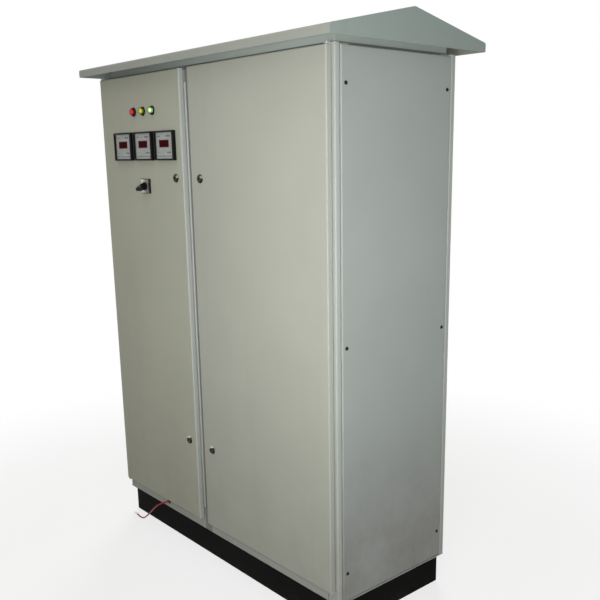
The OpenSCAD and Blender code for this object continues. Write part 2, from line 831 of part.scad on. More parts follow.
module right_lower_lock_cam() {
    color("#b4b7b9") lock_cam(right_lock_x, lock_lower_z, right_lock_inset - brim_lap / 2);
}

// Panel meters: bezel with a rear case, a recessed face and a display window
face_border = 5.6;
face_t = 1.2;
window_w = 0.46 * meter_w;
window_h = 0.21 * meter_h;
window_rise = 6;

module at_meter(i) {
    translate([meter_x + i * meter_pitch, door_y, body_z + meter_z]) children();
}

module meter_housing(i) {
    color("#141416") at_meter(i) {
        difference() {
            translate([-meter_w / 2, -meter_proud, -meter_h / 2]) soft_box(meter_w, meter_proud, meter_h, 3);
            translate([-meter_w / 2 + face_border, -meter_proud - cut, -meter_h / 2 + face_border])
                cube([meter_w - 2 * face_border, cut + instrument_face, meter_h - 2 * face_border]);
        }
        translate([-meter_w / 2 + 4, 0, -meter_h / 2 + 4]) cube([meter_w - 8, meter_case, meter_h - 8]);
        translate([-meter_w / 2 + 12, meter_case, -meter_h / 2 + 10]) cube([meter_w - 24, 9, 20]);
    }
}

module meter_housing_1() {
    meter_housing(-1);
}

module meter_housing_2() {
    meter_housing(0);
}

module meter_housing_3() {
    meter_housing(1);
}

module window_box(grow, y, t) {
    translate([-window_w / 2 - grow, y, window_rise - window_h / 2 - grow])
        cube([window_w + 2 * grow, t, window_h + 2 * grow]);
}

module meter_faces() {
    seat_y = -meter_proud + instrument_face;
    color("#a9aca8") for (i = [-1 : 1]) at_meter(i) difference() {
        translate([-meter_w / 2 + face_border, seat_y - face_t, -meter_h / 2 + face_border])
            cube([meter_w - 2 * face_border, face_t, meter_h - 2 * face_border]);
        window_box(0.2, seat_y - face_t - cut, face_t + 2 * cut);
    }
}

module meter_displays() {
    seat_y = -meter_proud + instrument_face;
    color("#4a1512") for (i = [-1 : 1]) at_meter(i) window_box(0, seat_y - face_t + 0.3, face_t - 0.3);
}

// Pilot lamps: black body with a nut behind the door, and a domed lens
lamp_barrel_d = 22;
lamp_flange = 5;
lens_d = lamp_d - 6;
lens_h = 11;

module at_lamp(i) {
    into_cabinet(meter_x + i * lamp_pitch, door_y, body_z + lamp_z) children();
}

module lamp_bodies() {
    color("#1d1d1f") for (i = [-1 : 1]) at_lamp(i) {
        rotate_extrude() polygon([[0, 0], [lamp_d / 2, 0], [lamp_d / 2, -3], [lamp_d / 2 - 1.5, -lamp_flange],
            [0, -lamp_flange]]);
        translate([0, 0, -1]) cylinder(d = lamp_barrel_d, h = 46);
        translate([0, 0, sheet]) hex(lamp_barrel_d + 6, 5);
    }
}

module lamp_lens(i) {
    r = lens_d / 2;
    at_lamp(i) rotate_extrude() polygon(concat([[0, -lamp_flange], [r, -lamp_flange]],
        [for (a = [0 : 15 : 75]) [r * cos(a), -lamp_flange - 3 - (lens_h - 3) * sin(a)]],
        [[0, -lamp_flange - lens_h]]));
}

module lamp_lens_red() {
    color("#c8141b") lamp_lens(-1);
}

module lamp_lens_yellow() {
    color("#e2b41c") lamp_lens(0);
}

module lamp_lens_green() {
    color("#1f9a4a") lamp_lens(1);
}

// Selector switch: base plate in front, cam block behind the door, lever knob on a shaft
switch_base = 4;
switch_plate = 0.8;
switch_border = 2;
shaft_d = 8;
shaft_play = 0.05;
shaft_depth = 30;
knob_gap = 0.4;
knob_h = 22;
knob_w = 11;

module at_switch() {
    translate([switch_x, door_y, body_z + switch_z]) children();
}

module selector_switch() {
    color("#161618") at_switch() difference() {
        union() {
            translate([-switch_w / 2, -switch_base, -switch_h / 2]) soft_box(switch_w, switch_base, switch_h, 1.5);
            translate([-24, sheet, -24]) cube([48, 58, 48]);
            into_cabinet(0, -1, 0) cylinder(d = shaft_d + 3.6, h = sheet + 2);
        }
        into_cabinet(0, -switch_base - cut, 0)
            cylinder(d = shaft_d + 2 * shaft_play, h = switch_base + shaft_depth + 1 + cut);
    }
}

module selector_plate() {
    color("#cfd1d0") at_switch() difference() {
        translate([-switch_w / 2 + switch_border, -switch_base - switch_plate, -switch_h / 2 + switch_border])
            cube([switch_w - 2 * switch_border, switch_plate, switch_h - 2 * switch_border]);
        into_cabinet(0, -switch_base - switch_plate - cut, 0) cylinder(d = shaft_d + 2, h = switch_plate + 2 * cut);
    }
}

module selector_knob() {
    base = -switch_base - switch_plate - knob_gap;
    color("#0f0f10") at_switch() rotate([0, lever_rest, 0]) {
        into_cabinet(0, base, 0) {
            translate([0, 0, -6]) cylinder(d = 27, h = 6);
            translate([0, 0, -1]) cylinder(d = shaft_d, h = shaft_depth - base);
        }
        translate([-knob_w / 2, base - knob_h, -knob_w]) soft_box(knob_w, knob_h, lever_len + knob_w, 2.5);
    }
}

// Mounting plate with its top and bottom edges folded back, on brackets from the rear posts
module mounting_plate() {
    color("#b8bbb9") along_x(plate_w) folded([[plate_y + 18, plate_bottom + plate_h],
        [plate_y, plate_bottom + plate_h], [plate_y, plate_bottom], [plate_y + 18, plate_bottom]], plate_t, plate_t);
}

module plate_brackets() {
    seat_x = side_x - seat_u - sheet;
    arm_y = plate_y + plate_t;
    height = 60;
    color("#b8bbb9") both_sides() for (z = [plate_bottom + 120, plate_bottom + plate_h - 120])
        translate([0, 0, z - height / 2]) linear_extrude(height)
            folded([[plate_w / 2 - 40, arm_y], [seat_x, arm_y], [seat_x, rear_y - post_strip - sheet]], 3, 3);
}

// Top-hat rails across the plate
rail_t = 1;

module din_rails() {
    color("#c5c8ca") for (z = rail_z) along_x(0.925 * plate_w) translate([plate_y, z]) rotate(180)
        folded([[rail_depth, -rail_w / 2], [rail_depth, -0.36 * rail_w], [rail_t, -0.36 * rail_w],
            [rail_t, 0.36 * rail_w], [rail_depth, 0.36 * rail_w], [rail_depth, rail_w / 2]], rail_t, rail_t / 2);
}

// Slotted wiring ducts with their lids on
module wiring_ducts() {
    wall = 2;
    slots = 19;
    pitch = duct_len / (slots + 1);
    color("#9da1a3") for (z = duct_z) translate([0, 0, z]) difference() {
        translate([-duct_len / 2, plate_y - duct_d, -duct_h / 2]) cube([duct_len, duct_d, duct_h]);
        translate([-duct_len / 2 - cut, plate_y - duct_d + wall, -duct_h / 2 + wall])
            cube([duct_len + 2 * cut, duct_d - 2 * wall, duct_h - 2 * wall]);
        for (i = [0 : slots]) translate([(i - slots / 2) * pitch - 4, plate_y - 0.8 * duct_d, -duct_h / 2 - cut])
            cube([8, 0.6 * duct_d, duct_h + 2 * cut]);
    }
}

// Main breaker: stepped moulded case with a slot for its toggle
module main_breaker() {
    nose = 0.28 * breaker_h;
    step = 0.68 * breaker_d;
    color("#3b3e42") translate([breaker_x, plate_y, breaker_z]) {
        difference() {
            along_x(breaker_w) polygon([[0, 0], [-step, 0], [-step, nose], [-breaker_d, nose + 6],
                [-breaker_d, breaker_h - nose - 6], [-step, breaker_h - nose], [-step, breaker_h], [0, breaker_h]]);
            translate([-toggle_w / 2 - 1, -breaker_d - cut, breaker_h / 2 - 22]) cube([toggle_w + 2, 36 + cut, 44]);
            for (i = [-1 : 1], z = [-cut, breaker_h - 26]) translate([i * breaker_w / 3 - 15, -step - cut, z])
                cube([30, step - 20, 26 + cut]);
        }
        translate([-toggle_w / 2 - 2, -breaker_d + 18, breaker_h / 2]) rotate([0, 90, 0])
            cylinder(d = toggle_d, h = toggle_w + 4);
    }
}

toggle_tilt = 18;

module breaker_toggle() {
    color("#121213") translate([breaker_x, plate_y - breaker_d + 18, breaker_z + breaker_h / 2])
        rotate([-toggle_tilt, 0, 0]) difference() {
            union() {
                translate([-toggle_w / 2, 0, 0]) rotate([0, 90, 0]) cylinder(r = toggle_r, h = toggle_w);
                translate([-toggle_w / 2 + 3, -44, -6]) cube([toggle_w - 6, 44, 12]);
            }
            translate([-toggle_w / 2 - cut, 0, 0]) rotate([0, 90, 0])
                cylinder(d = toggle_d + 2 * shaft_play, h = toggle_w + 2 * cut);
        }
}

// Contactors clipped on the upper rail
module contactors() {
    half = contactor_h / 2;
    color("#54585c") for (i = [0 : contactor_count - 1])
        translate([(i - 0.6) * contactor_pitch, plate_y - rail_depth, rail_z[1]]) difference() {
            along_x(contactor_w) polygon([[0, -half], [-0.55 * contactor_d, -half], [-0.55 * contactor_d, -0.55 * half],
                [-contactor_d, -0.5 * half], [-contactor_d, 0.5 * half], [-0.55 * contactor_d, 0.55 * half],
                [-0.55 * contactor_d, half], [0, half]]);
            for (k = [-1 : 1], z = [-half - cut, half - 0.16 * contactor_h])
                translate([(0.29 * k - 0.085) * contactor_w, -0.55 * contactor_d - cut, z])
                    cube([0.17 * contactor_w, 0.24 * contactor_d, 0.16 * contactor_h + cut]);
        }
}

// Terminal strip on the lower rail, parted by grooves
module terminal_strip() {
    count = 23;
    pitch = terminal_len / (count + 1);
    half = terminal_h / 2;
    color("#8d9391") translate([0, plate_y - rail_depth, rail_z[0]]) difference() {
        along_x(terminal_len) polygon([[0, -half], [-terminal_d / 2, -half], [-0.83 * terminal_d, -0.54 * half],
            [-terminal_d, -0.54 * half], [-terminal_d, 0.54 * half], [-0.83 * terminal_d, 0.54 * half],
            [-terminal_d / 2, half], [0, half]]);
        for (i = [0 : count - 1]) translate([(i - (count - 1) / 2) * pitch - 0.6, -terminal_d - cut, -half - cut])
            cube([1.2, 0.66 * terminal_d + cut, terminal_h + 2 * cut]);
    }
}

// Earth bar: one flat copper bar with its two feet bent back to the plate
module earth_bar() {
    half = 0.185 * plate_w;
    stand = 36;
    color("#b5713a") translate([0, plate_y, plate_bottom + 0.03 * plate_h]) linear_extrude(30)
        folded([[half + 30, 0], [half, 0], [half, -stand], [-half, -stand], [-half, 0], [-half - 30, 0]], 5, 5);
}

// Control transformer on the floor: laminated core with two windows, winding on its middle leg
module transformer_core() {
    window = (core_w - 2 * core_leg) / 2;
    color("#5d5f60") translate([core_x, 0, body_z + sheet]) {
        translate([0, core_d / 2, 12]) rotate([90, 0, 0]) linear_extrude(core_d) difference() {
            translate([-core_w / 2, 0]) square([core_w, core_h]);
            for (s = [-1, 1]) translate([s * (core_leg + window) / 2 - window / 2, core_leg / 2])
                square([window, core_h - core_leg]);
        }
        for (s = [-1, 1]) translate([s * (core_w / 2 - 25) - 15, -core_d / 2 - 25, 0]) cube([30, core_d + 50, 12]);
    }
}

module transformer_windings() {
    play = 0.5;
    build = (core_w - 2 * core_leg) / 2 - 2;
    color("#a8683a") translate([core_x, 0, body_z + sheet + 12 + core_leg / 2 + 1])
        linear_extrude(core_h - core_leg - 2) difference() {
            square([core_leg + 2 * build, core_d + 2 * build], center = true);
            square([core_leg + 2 * play, core_d + 2 * play], center = true);
        }
}

// Red lead under the left door: grommet, wire swept along its route, and ring lug
module lead_grommet() {
    color("#1a1a1b") into_cabinet(lead_hole[0], front_y, lead_hole[1]) rotate_extrude()
        polygon([[lead_d / 2 + 0.3, -2.5], [9, -2.5], [9, -0.05], [lead_d / 2 + 2.2, -0.05],
            [lead_d / 2 + 2.2, sheet + 0.05], [9, sheet + 0.05], [9, sheet + 2.5], [lead_d / 2 + 0.3, sheet + 2.5]]);
}

function tangent(p, i) = unit(p[min(i + 1, len(p) - 1)] - p[max(i - 1, 0)]);
function ring_points(p, i) =
    let (t = tangent(p, i), s = unit(cross(t, [0, 0, 1])), u = cross(s, t))
    [for (k = [0 : lead_sides - 1]) p[i] + lead_d / 2 * (cos(360 * k / lead_sides) * s + sin(360 * k / lead_sides) * u)];

module red_lead() {
    n = len(lead_route);
    points = [for (i = [0 : n - 1]) each ring_points(lead_route, i)];
    sides = [for (i = [0 : n - 2], k = [0 : lead_sides - 1])
        let (a = i * lead_sides + k, b = i * lead_sides + (k + 1) % lead_sides)
        [a, a + lead_sides, b + lead_sides, b]];
    first = [for (k = [0 : lead_sides - 1]) k];
    last = [for (k = [lead_sides - 1 : -1 : 0]) (n - 1) * lead_sides + k];
    color("#c01c1e") polyhedron(points, concat(sides, [first], [last]));
}

module lead_lug() {
    tip = lead_route[len(lead_route) - 1];
    way = tangent(lead_route, len(lead_route) - 1);
    turn = atan2(way[1], way[0]);
    color("#b9bcbe") translate(tip) rotate([0, 0, turn]) {
        rotate([0, 90, 0]) cylinder(d = lead_d, h = 11);
        difference() {
            union() {
                translate([10, -3, -1]) cube([lug_len - 10, 6, 2]);
                translate([lug_len, 0, -1]) cylinder(d = 12, h = 2);
            }
            translate([lug_len, 0, -2]) cylinder(d = 6.4, h = 4);
        }
    }
}

plinth();
plinth_bolts();
base_tray();
gland_plate();
cable_glands();
corner_posts();
mullion();
top_deck();
canopy_neck();
canopy();
canopy_bolts();
left_side_panel();
right_side_panel();
rear_panel();
left_panel_screws();
right_panel_screws();
rear_panel_screws();
hinge_lugs();
pivot_pins();
mounting_plate();
plate_brackets();
din_rails();
wiring_ducts();
main_breaker();
breaker_toggle();
contactors();
terminal_strip();
earth_bar();
transformer_core();
transformer_windings();
lead_grommet();
red_lead();
lead_lug();
left_door();
left_door_stiffeners();
left_pivot_blocks();
left_door_gasket();
left_lock_housings();
left_upper_lock_cam();
left_lower_lock_cam();
meter_housing_1();
meter_housing_2();
meter_housing_3();
meter_faces();
meter_displays();
lamp_bodies();
lamp_lens_red();
lamp_lens_yellow();
lamp_lens_green();
selector_switch();
selector_plate();
selector_knob();
right_door();
right_door_stiffeners();
right_pivot_blocks();
right_door_gasket();
right_lock_housings();
right_upper_lock_cam();
right_lower_lock_cam();
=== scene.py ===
# %% [markdown]
# # A roadside utility cabinet in Blender
# The cabinet is a grey sheet-metal box on a black plinth, under a gable canopy. Its solids come from a
# CAD model that is already in place. This lesson dresses them: it gives every part a finish made of
# shader nodes, and it adds the small things that a CAD model leaves out.
#
# The frame is loaded first. Every object in it sits at the origin, with its place in its mesh, so an
# Object coordinate in a material is a real place on the cabinet, in metres.

# %% Load the frame
import json
import math

import bmesh
import bpy
from mathutils import Matrix, Vector

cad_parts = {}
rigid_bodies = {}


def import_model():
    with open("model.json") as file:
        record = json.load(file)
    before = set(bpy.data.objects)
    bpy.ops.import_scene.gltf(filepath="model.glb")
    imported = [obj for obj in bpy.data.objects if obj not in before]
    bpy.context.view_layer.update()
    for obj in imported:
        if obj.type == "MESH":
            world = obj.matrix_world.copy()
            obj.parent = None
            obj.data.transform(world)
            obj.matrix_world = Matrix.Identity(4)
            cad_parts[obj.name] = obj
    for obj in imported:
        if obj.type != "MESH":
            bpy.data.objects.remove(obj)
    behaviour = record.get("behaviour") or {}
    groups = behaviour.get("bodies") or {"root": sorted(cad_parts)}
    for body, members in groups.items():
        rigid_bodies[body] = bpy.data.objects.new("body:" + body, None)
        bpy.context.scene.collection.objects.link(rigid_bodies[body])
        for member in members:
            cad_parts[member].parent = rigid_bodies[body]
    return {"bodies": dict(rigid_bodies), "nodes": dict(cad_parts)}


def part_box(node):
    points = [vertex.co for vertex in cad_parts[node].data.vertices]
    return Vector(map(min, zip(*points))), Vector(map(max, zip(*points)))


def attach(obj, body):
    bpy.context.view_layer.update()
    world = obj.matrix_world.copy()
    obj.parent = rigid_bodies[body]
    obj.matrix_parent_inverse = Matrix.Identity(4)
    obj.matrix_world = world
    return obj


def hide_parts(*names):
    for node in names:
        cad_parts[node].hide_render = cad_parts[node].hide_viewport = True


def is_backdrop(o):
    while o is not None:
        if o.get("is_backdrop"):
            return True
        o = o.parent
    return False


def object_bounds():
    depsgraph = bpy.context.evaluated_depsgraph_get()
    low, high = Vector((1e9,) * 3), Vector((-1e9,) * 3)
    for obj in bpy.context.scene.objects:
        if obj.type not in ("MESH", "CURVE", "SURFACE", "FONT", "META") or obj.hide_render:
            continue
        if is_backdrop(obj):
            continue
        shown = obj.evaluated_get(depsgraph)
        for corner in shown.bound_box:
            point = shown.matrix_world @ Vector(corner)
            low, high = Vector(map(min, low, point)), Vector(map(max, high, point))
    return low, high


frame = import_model()
cad_box = [list(corner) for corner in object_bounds()]
nodes = frame["nodes"]
print("nodes:", len(nodes), "bodies:", sorted(frame["bodies"]))

# %% [markdown]
# ## The camera
# The photograph was taken from the right of the cabinet's front, at about eye height, looking a little
# down. Known corners of the cabinet were matched with their pixels to find the place, the turn and the
# focal length. Blender wants the focal length in millimetres on a 36 mm sensor, and the photo's
# off-centre crop as a lens shift.

# %% Camera
PHOTO_SIDE = 600
SENSOR_WIDTH = 36
FOCAL_PIXELS = 794.66
CROP_CENTRE = (320, 345)
CAMERA_PLACE = Vector((2.1914, -1.6961, 1.4133))
CAMERA_HEADING = math.radians(-48.37)
CAMERA_PITCH = math.radians(-13.32)
CAMERA_ROLL = math.radians(-0.68)

ahead = Vector((
    math.sin(CAMERA_HEADING) * math.cos(CAMERA_PITCH),
    math.cos(CAMERA_HEADING) * math.cos(CAMERA_PITCH),
    math.sin(CAMERA_PITCH),
))
level = Vector((math.cos(CAMERA_HEADING), -math.sin(CAMERA_HEADING), 0))
upright = level.cross(ahead)
right = level * math.cos(CAMERA_ROLL) + upright * math.sin(CAMERA_ROLL)
above = upright * math.cos(CAMERA_ROLL) - level * math.sin(CAMERA_ROLL)

lens = bpy.data.cameras.new("photo_lens")
lens.sensor_width = SENSOR_WIDTH
lens.lens = FOCAL_PIXELS / PHOTO_SIDE * lens.sensor_width
lens.shift_x = (PHOTO_SIDE / 2 - CROP_CENTRE[0]) / PHOTO_SIDE
lens.shift_y = (CROP_CENTRE[1] - PHOTO_SIDE / 2) / PHOTO_SIDE
camera = bpy.data.objects.new("photo_camera", lens)
bpy.context.scene.collection.objects.link(camera)
turn = Matrix((right, above, -ahead)).transposed()
camera.matrix_world = Matrix.Translation(CAMERA_PLACE) @ turn.to_4x4()
bpy.context.scene.camera = camera
print("lens", round(lens.lens, 2), "mm")

# %% [markdown]
# ## The red lead
# A thin red wire comes out of a grommet in the sill, under the left door, and runs down over the plinth
# to the floor, where it ends in a ring lug. A wire is one smooth line with a round section, so a Bezier
# curve with a bevel is the natural tool: the points are the route, and the curve passes through all of
# them. It follows the same route as its CAD solid, which it replaces. The thickness is the bevel's depth
# times the radius of a point. It is kept in the radius here, with a depth of 1, because Blender takes the
# radius for the thickness when it measures the box around a curve.

# %% Red lead
LEAD_DIAMETER = 0.0055
LEAD_ROUTE = [
    (-0.330, -0.2325, 0.126), (-0.330, -0.2425, 0.126), (-0.331, -0.254, 0.126), (-0.336, -0.263, 0.124),
    (-0.346, -0.270, 0.119), (-0.360, -0.275, 0.110), (-0.376, -0.277, 0.098), (-0.393, -0.277, 0.084),
    (-0.410, -0.276, 0.070), (-0.427, -0.275, 0.056), (-0.444, -0.274, 0.042), (-0.461, -0.273, 0.029),
    (-0.478, -0.272, 0.017), (-0.496, -0.271, 0.008), (-0.514, -0.270, 0.004), (-0.532, -0.268, 0.003),
    (-0.548, -0.266, 0.003),
]


def smooth_line(name, routes, radius, roundness=4):
    """A curve object with one smooth round wire along each route."""
    line = bpy.data.curves.new(name, "CURVE")
    line.dimensions = "3D"
    line.resolution_u = 4
    line.bevel_depth = 1.0
    line.bevel_resolution = roundness
    line.use_fill_caps = True
    for route in routes:
        spline = line.splines.new("BEZIER")
        spline.bezier_points.add(len(route) - 1)
        for point, place in zip(spline.bezier_points, route):
            point.co = place
            point.radius = radius
            point.handle_left_type = "AUTO"
            point.handle_right_type = "AUTO"
    made = bpy.data.objects.new(name, line)
    bpy.context.scene.collection.objects.link(made)
    return made


lead_wire = smooth_line("lead_wire", [LEAD_ROUTE], LEAD_DIAMETER / 2)
lead_length = sum((Vector(b) - Vector(a)).length for a, b in zip(LEAD_ROUTE, LEAD_ROUTE[1:]))
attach(lead_wire, "cabinet")
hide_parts("red_lead")
LEAD_ROUTE[0]
round(lead_length, 3)
nodes["lead_lug"]
print("lead", round(lead_length, 3), "m")

# %% [markdown]
# ## Shader maths as Python
# A material is a graph of nodes, and most of them only add, multiply or compare. Written out one by one
# they bury the idea, so a small class wraps a socket and turns Python's operators into Math nodes.
# The reflected forms make `1 - mask` work too. Everything else comes from one method of the finish, which
# takes the node's type, its settings, and what goes into its sockets.

# %% Sockets with operators
class Wire:
    """An output socket of a finish. Its arithmetic adds Math nodes to the finish."""

    def __init__(self, finish, socket):
        self.finish = finish
        self.socket = socket

    def math(self, operation, *values):
        return self.finish.node("ShaderNodeMath", {"operation": operation}, dict(enumerate(values)))

    def __add__(self, other):
        return self.math("ADD", self, other)

    def __radd__(self, other):
        return self.math("ADD", other, self)

    def __sub__(self, other):
        return self.math("SUBTRACT", self, other)

    def __rsub__(self, other):
        return self.math("SUBTRACT", other, self)

    def __mul__(self, other):
        return self.math("MULTIPLY", self, other)

    def __rmul__(self, other):
        return self.math("MULTIPLY", other, self)

    def __truediv__(self, other):
        return self.math("DIVIDE", self, other)

    def __rtruediv__(self, other):
        return self.math("DIVIDE", other, self)

    def __pow__(self, other):
        return self.math("POWER", self, other)

    def __lt__(self, other):
        return self.math("LESS_THAN", self, other)

    def __gt__(self, other):
        return self.math("GREATER_THAN", self, other)

    def __abs__(self):
        return self.math("ABSOLUTE", self)

    def __round__(self):
        return self.math("ROUND", self)


print("sockets take + - * / ** < > and abs() and round()")

# %% [markdown]
# The finish itself owns a material and its Principled shader. `node` makes any node. The few methods
# after it are the words that the finishes below are written in: a place on the part, a noise, a soft
# step between two values, a mix of two colours, and a bump.

# %% A finish
class Finish:
    """A procedural material around one Principled shader."""

    def __init__(self, name, roughness=0.5, metallic=0.0, specular=0.5, coat=0.0):
        self.material = bpy.data.materials.new(name)
        self.material.use_nodes = True
        self.tree = self.material.node_tree
        self.shader = self.tree.nodes["Principled BSDF"]
        self.shader.inputs["Roughness"].default_value = roughness
        self.shader.inputs["Metallic"].default_value = metallic
        self.shader.inputs["Specular IOR Level"].default_value = specular
        self.shader.inputs["Coat Weight"].default_value = coat
        self.shader.inputs["Coat Roughness"].default_value = 0.15
        coordinates = self.tree.nodes.new("ShaderNodeTexCoord")
        self.place = Wire(self, coordinates.outputs["Object"])
        self.normal = Wire(self, coordinates.outputs["Normal"])

    def node(self, kind, settings, sockets, output=0):
        made = self.tree.nodes.new(kind)
        for key, value in settings.items():
            setattr(made, key, value)
        for key, value in sockets.items():
            self.feed(made.inputs[key], value)
        return Wire(self, made.outputs[output])

    def feed(self, socket, value):
        if isinstance(value, Wire):
            self.tree.links.new(value.socket, socket)
        elif isinstance(value, tuple) and len(value) == 3 and socket.type == "RGBA":
            socket.default_value = (*value, 1)
        else:
            socket.default_value = value

    def shade(self, socket, value):
        self.feed(self.shader.inputs[socket], value)

    def axes(self, vector=None):
        split = self.tree.nodes.new("ShaderNodeSeparateXYZ")
        self.feed(split.inputs[0], vector or self.place)
        return [Wire(self, out) for out in split.outputs]

    def stretched(self, scale, turn=(0, 0, 0)):
        return self.node("ShaderNodeMapping", {}, {"Vector": self.place, "Rotation": turn, "Scale": scale})

    def noise(self, scale, detail=2, roughness=0.5, vector=None):
        return self.node("ShaderNodeTexNoise", {}, {"Vector": vector or self.place, "Scale": scale,
                                                    "Detail": detail, "Roughness": roughness})

    def cells(self, scale):
        return self.node("ShaderNodeTexVoronoi", {"feature": "F1"},
                         {"Vector": self.place, "Scale": scale}, "Color")

    def step(self, value, low, high, start=0.0, end=1.0):
        limits = {"From Min": low, "From Max": high, "To Min": start, "To Max": end}
        return self.node("ShaderNodeMapRange", {"interpolation_type": "SMOOTHSTEP", "clamp": True},
                         {"Value": value, **limits})

    def mix(self, factor, first, second):
        return self.node("ShaderNodeMix", {"data_type": "RGBA"}, {0: factor, 6: first, 7: second}, 2)

    def bump(self, height, strength, distance):
        self.shade("Normal", self.node("ShaderNodeBump", {}, {"Height": height, "Strength": strength,
                                                              "Distance": distance}))


def tint(colour, factor):
    """A colour made lighter or darker by a factor."""
    return tuple(min(1.0, channel * factor) for channel in colour)


def dress(finish, *names):
    """Gives CAD nodes a finish."""
    for name in names:
        nodes[name].data.materials.clear()
        nodes[name].data.materials.append(finish.material)


print("words of a finish:", [word for word in vars(Finish) if not word.startswith("_")])

# %% [markdown]
# ## Powder-coated sheet
# The body, doors and canopy are steel sheet with a baked powder coat. It isn't smooth: the powder melts
# into a fine leather-like texture of one to two millimetres, which breaks up the light. Big soft patches
# vary by a few percent, and dust settles on what faces up and collects low down, where rain splashes.
# A noise at the texture's scale gives the bump, and the place's height gives the dust. Faces that look
# down are painted lighter and faces that look sideways get their own tone, as painted light. Both come from
# the Object normal, which belongs to the sheet and not to the view. An optional mask adds painted shade.

# %% Powder coat
COAT_TEXTURE = 620
COAT_SHINE = 0.46
SPLASH_TOP = 0.75
SPLASH_FOOT = 0.1


def powder_coat(name, colour, side_lit_tone=None, grime=None, dust=(0.25, 0.235, 0.19), splashed=0.42):
    """Textured powder coat with soft patches, low splash dust and dust on faces that look up."""
    paint = Finish(name, specular=0.26)
    height = paint.axes()[2]
    facing_right, _, facing_up = paint.axes(paint.normal)
    patches = paint.noise(2.3, 3, 0.55)
    speckle = paint.noise(COAT_TEXTURE * 0.55, 1)
    streaks = paint.noise(9, 4, 0.6, paint.stretched((1, 1, 0.06)))
    tone = paint.mix(paint.step(patches, 0.3, 0.7), tint(colour, 0.955), tint(colour, 1.025))
    # Painted light: faces that look sideways take the tone of the cool light from the right.
    if side_lit_tone:
        tone = paint.mix(paint.step(abs(facing_right), 0.25, 0.8), tone, side_lit_tone)
    # Painted light: faces that look down are made lighter, for light reaching the underside.
    tone = paint.mix(paint.step(facing_up, -0.6, -0.95), tone, tint(colour, 1.3))
    tone = paint.mix(paint.step(speckle, 0.45, 0.75, 0, 0.22), tone, tint(colour, 1.16))
    tone = paint.mix(paint.step(streaks, 0.55, 0.8, 0, 0.10), tone, tint(dust, 0.8))
    splash = paint.step(height, SPLASH_TOP, SPLASH_FOOT) * paint.step(paint.noise(6, 5, 0.65), -0.15, 1.1)
    settled = paint.step(facing_up, 0.55, 0.95) * paint.step(paint.noise(14, 4), 0.3, 0.7)
    # Painted shade: the mask darkens the coat where it lies in shade.
    if grime:
        tone = paint.mix(grime(paint), tone, tint(colour, 0.3))
    tone = paint.mix(splash * splashed, tone, dust)
    tone = paint.mix(settled * 0.25, tone, tint(dust, 1.6))
    paint.shade("Base Color", tone)
    peel = paint.noise(COAT_TEXTURE, 2, 0.6)
    paint.shade("Roughness", COAT_SHINE + 0.12 * peel + 0.12 * splash + 0.1 * settled)
    paint.bump(peel + 0.35 * paint.noise(COAT_TEXTURE * 0.28, 1), 0.32, 0.0006)
    return paint


# The greys are partly painted light: the left door is a yellower copy of the right door's paint, and the
# side panels are cooler, for warm light on the front and cool light from the right.
LEFT_DOOR_GREY = (0.462, 0.467, 0.374)
RIGHT_DOOR_GREY = (0.460, 0.465, 0.398)
FRAME_GREY = (0.458, 0.474, 0.440)
SIDE_GREY = (0.395, 0.416, 0.398)
CANOPY_GREY = (0.378, 0.392, 0.345)
frame_paint = powder_coat("frame_paint", FRAME_GREY)
side_paint = powder_coat("panel_paint", SIDE_GREY, dust=(0.20, 0.16, 0.155), splashed=0.88)
# The canopy's gables and the doors' returns get a painted-light tone for the light from the side.
canopy_paint = powder_coat("canopy_paint", CANOPY_GREY, side_lit_tone=(0.318, 0.362, 0.343))
dress(powder_coat("left_door_paint", LEFT_DOOR_GREY, side_lit_tone=(0.486, 0.498, 0.472)), "left_door")
dress(powder_coat("right_door_paint", RIGHT_DOOR_GREY, side_lit_tone=(0.428, 0.437, 0.392)), "right_door")
dress(frame_paint, "corner_posts", "hinge_lugs", "left_door_stiffeners", "right_door_stiffeners")
dress(side_paint, "left_side_panel", "right_side_panel", "rear_panel")
dress(canopy_paint, "canopy")
looks = {name: node.data.materials for name, node in nodes.items() if node.data.materials}
print("painted", [name for name in looks if "paint" in looks[name][0].name])

# %% [markdown]
# Painted shade darkens the places that lie in shade: the slit between the doors, which crosses the mullion,
# the tray and the deck, the seam under the canopy's neck, and the left of the neck itself. Each is a mask
# of
# the place: a rectangle seen from above, a height, and a soft step along the width.

# %% Painted shade
def bar(across, up, centre, half):
    """1 inside a rectangle of half sizes half around centre, and 0 outside."""
    return (abs(across - centre[0]) < half[0]) * (abs(up - centre[1]) < half[1])


slit_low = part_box("left_door")[1].x
slit_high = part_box("right_door")[0].x
SLIT_CENTRE = ((slit_low + slit_high) / 2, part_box("mullion")[0].y + 0.025)
SLIT_HALF = ((slit_high - slit_low) / 2 - 0.0035, 0.030)
SEAM_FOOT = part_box("top_deck")[1].z - 0.012
SLIT_SHADE = 0.68
SEAM_SHADE = 0.85
NECK_SHADE = 0.55
NECK_FADE = (0.35, -0.6)
print("slit between the doors", round((slit_high - slit_low) * 1000, 1), "mm")


# Painted shade in the slit between the doors.
def slit_shade(paint):
    x, y, _ = paint.axes()
    return SLIT_SHADE * bar(x, y, SLIT_CENTRE, SLIT_HALF)


# Painted shade in the slit and in the seam under the canopy's neck.
def deck_shade(paint):
    return slit_shade(paint) + SEAM_SHADE * (paint.axes()[2] > SEAM_FOOT)


# Painted shade: the neck grows darker towards its left, where less light falls.
def neck_shade(paint):
    return paint.step(paint.axes()[0], *NECK_FADE, 0, NECK_SHADE)


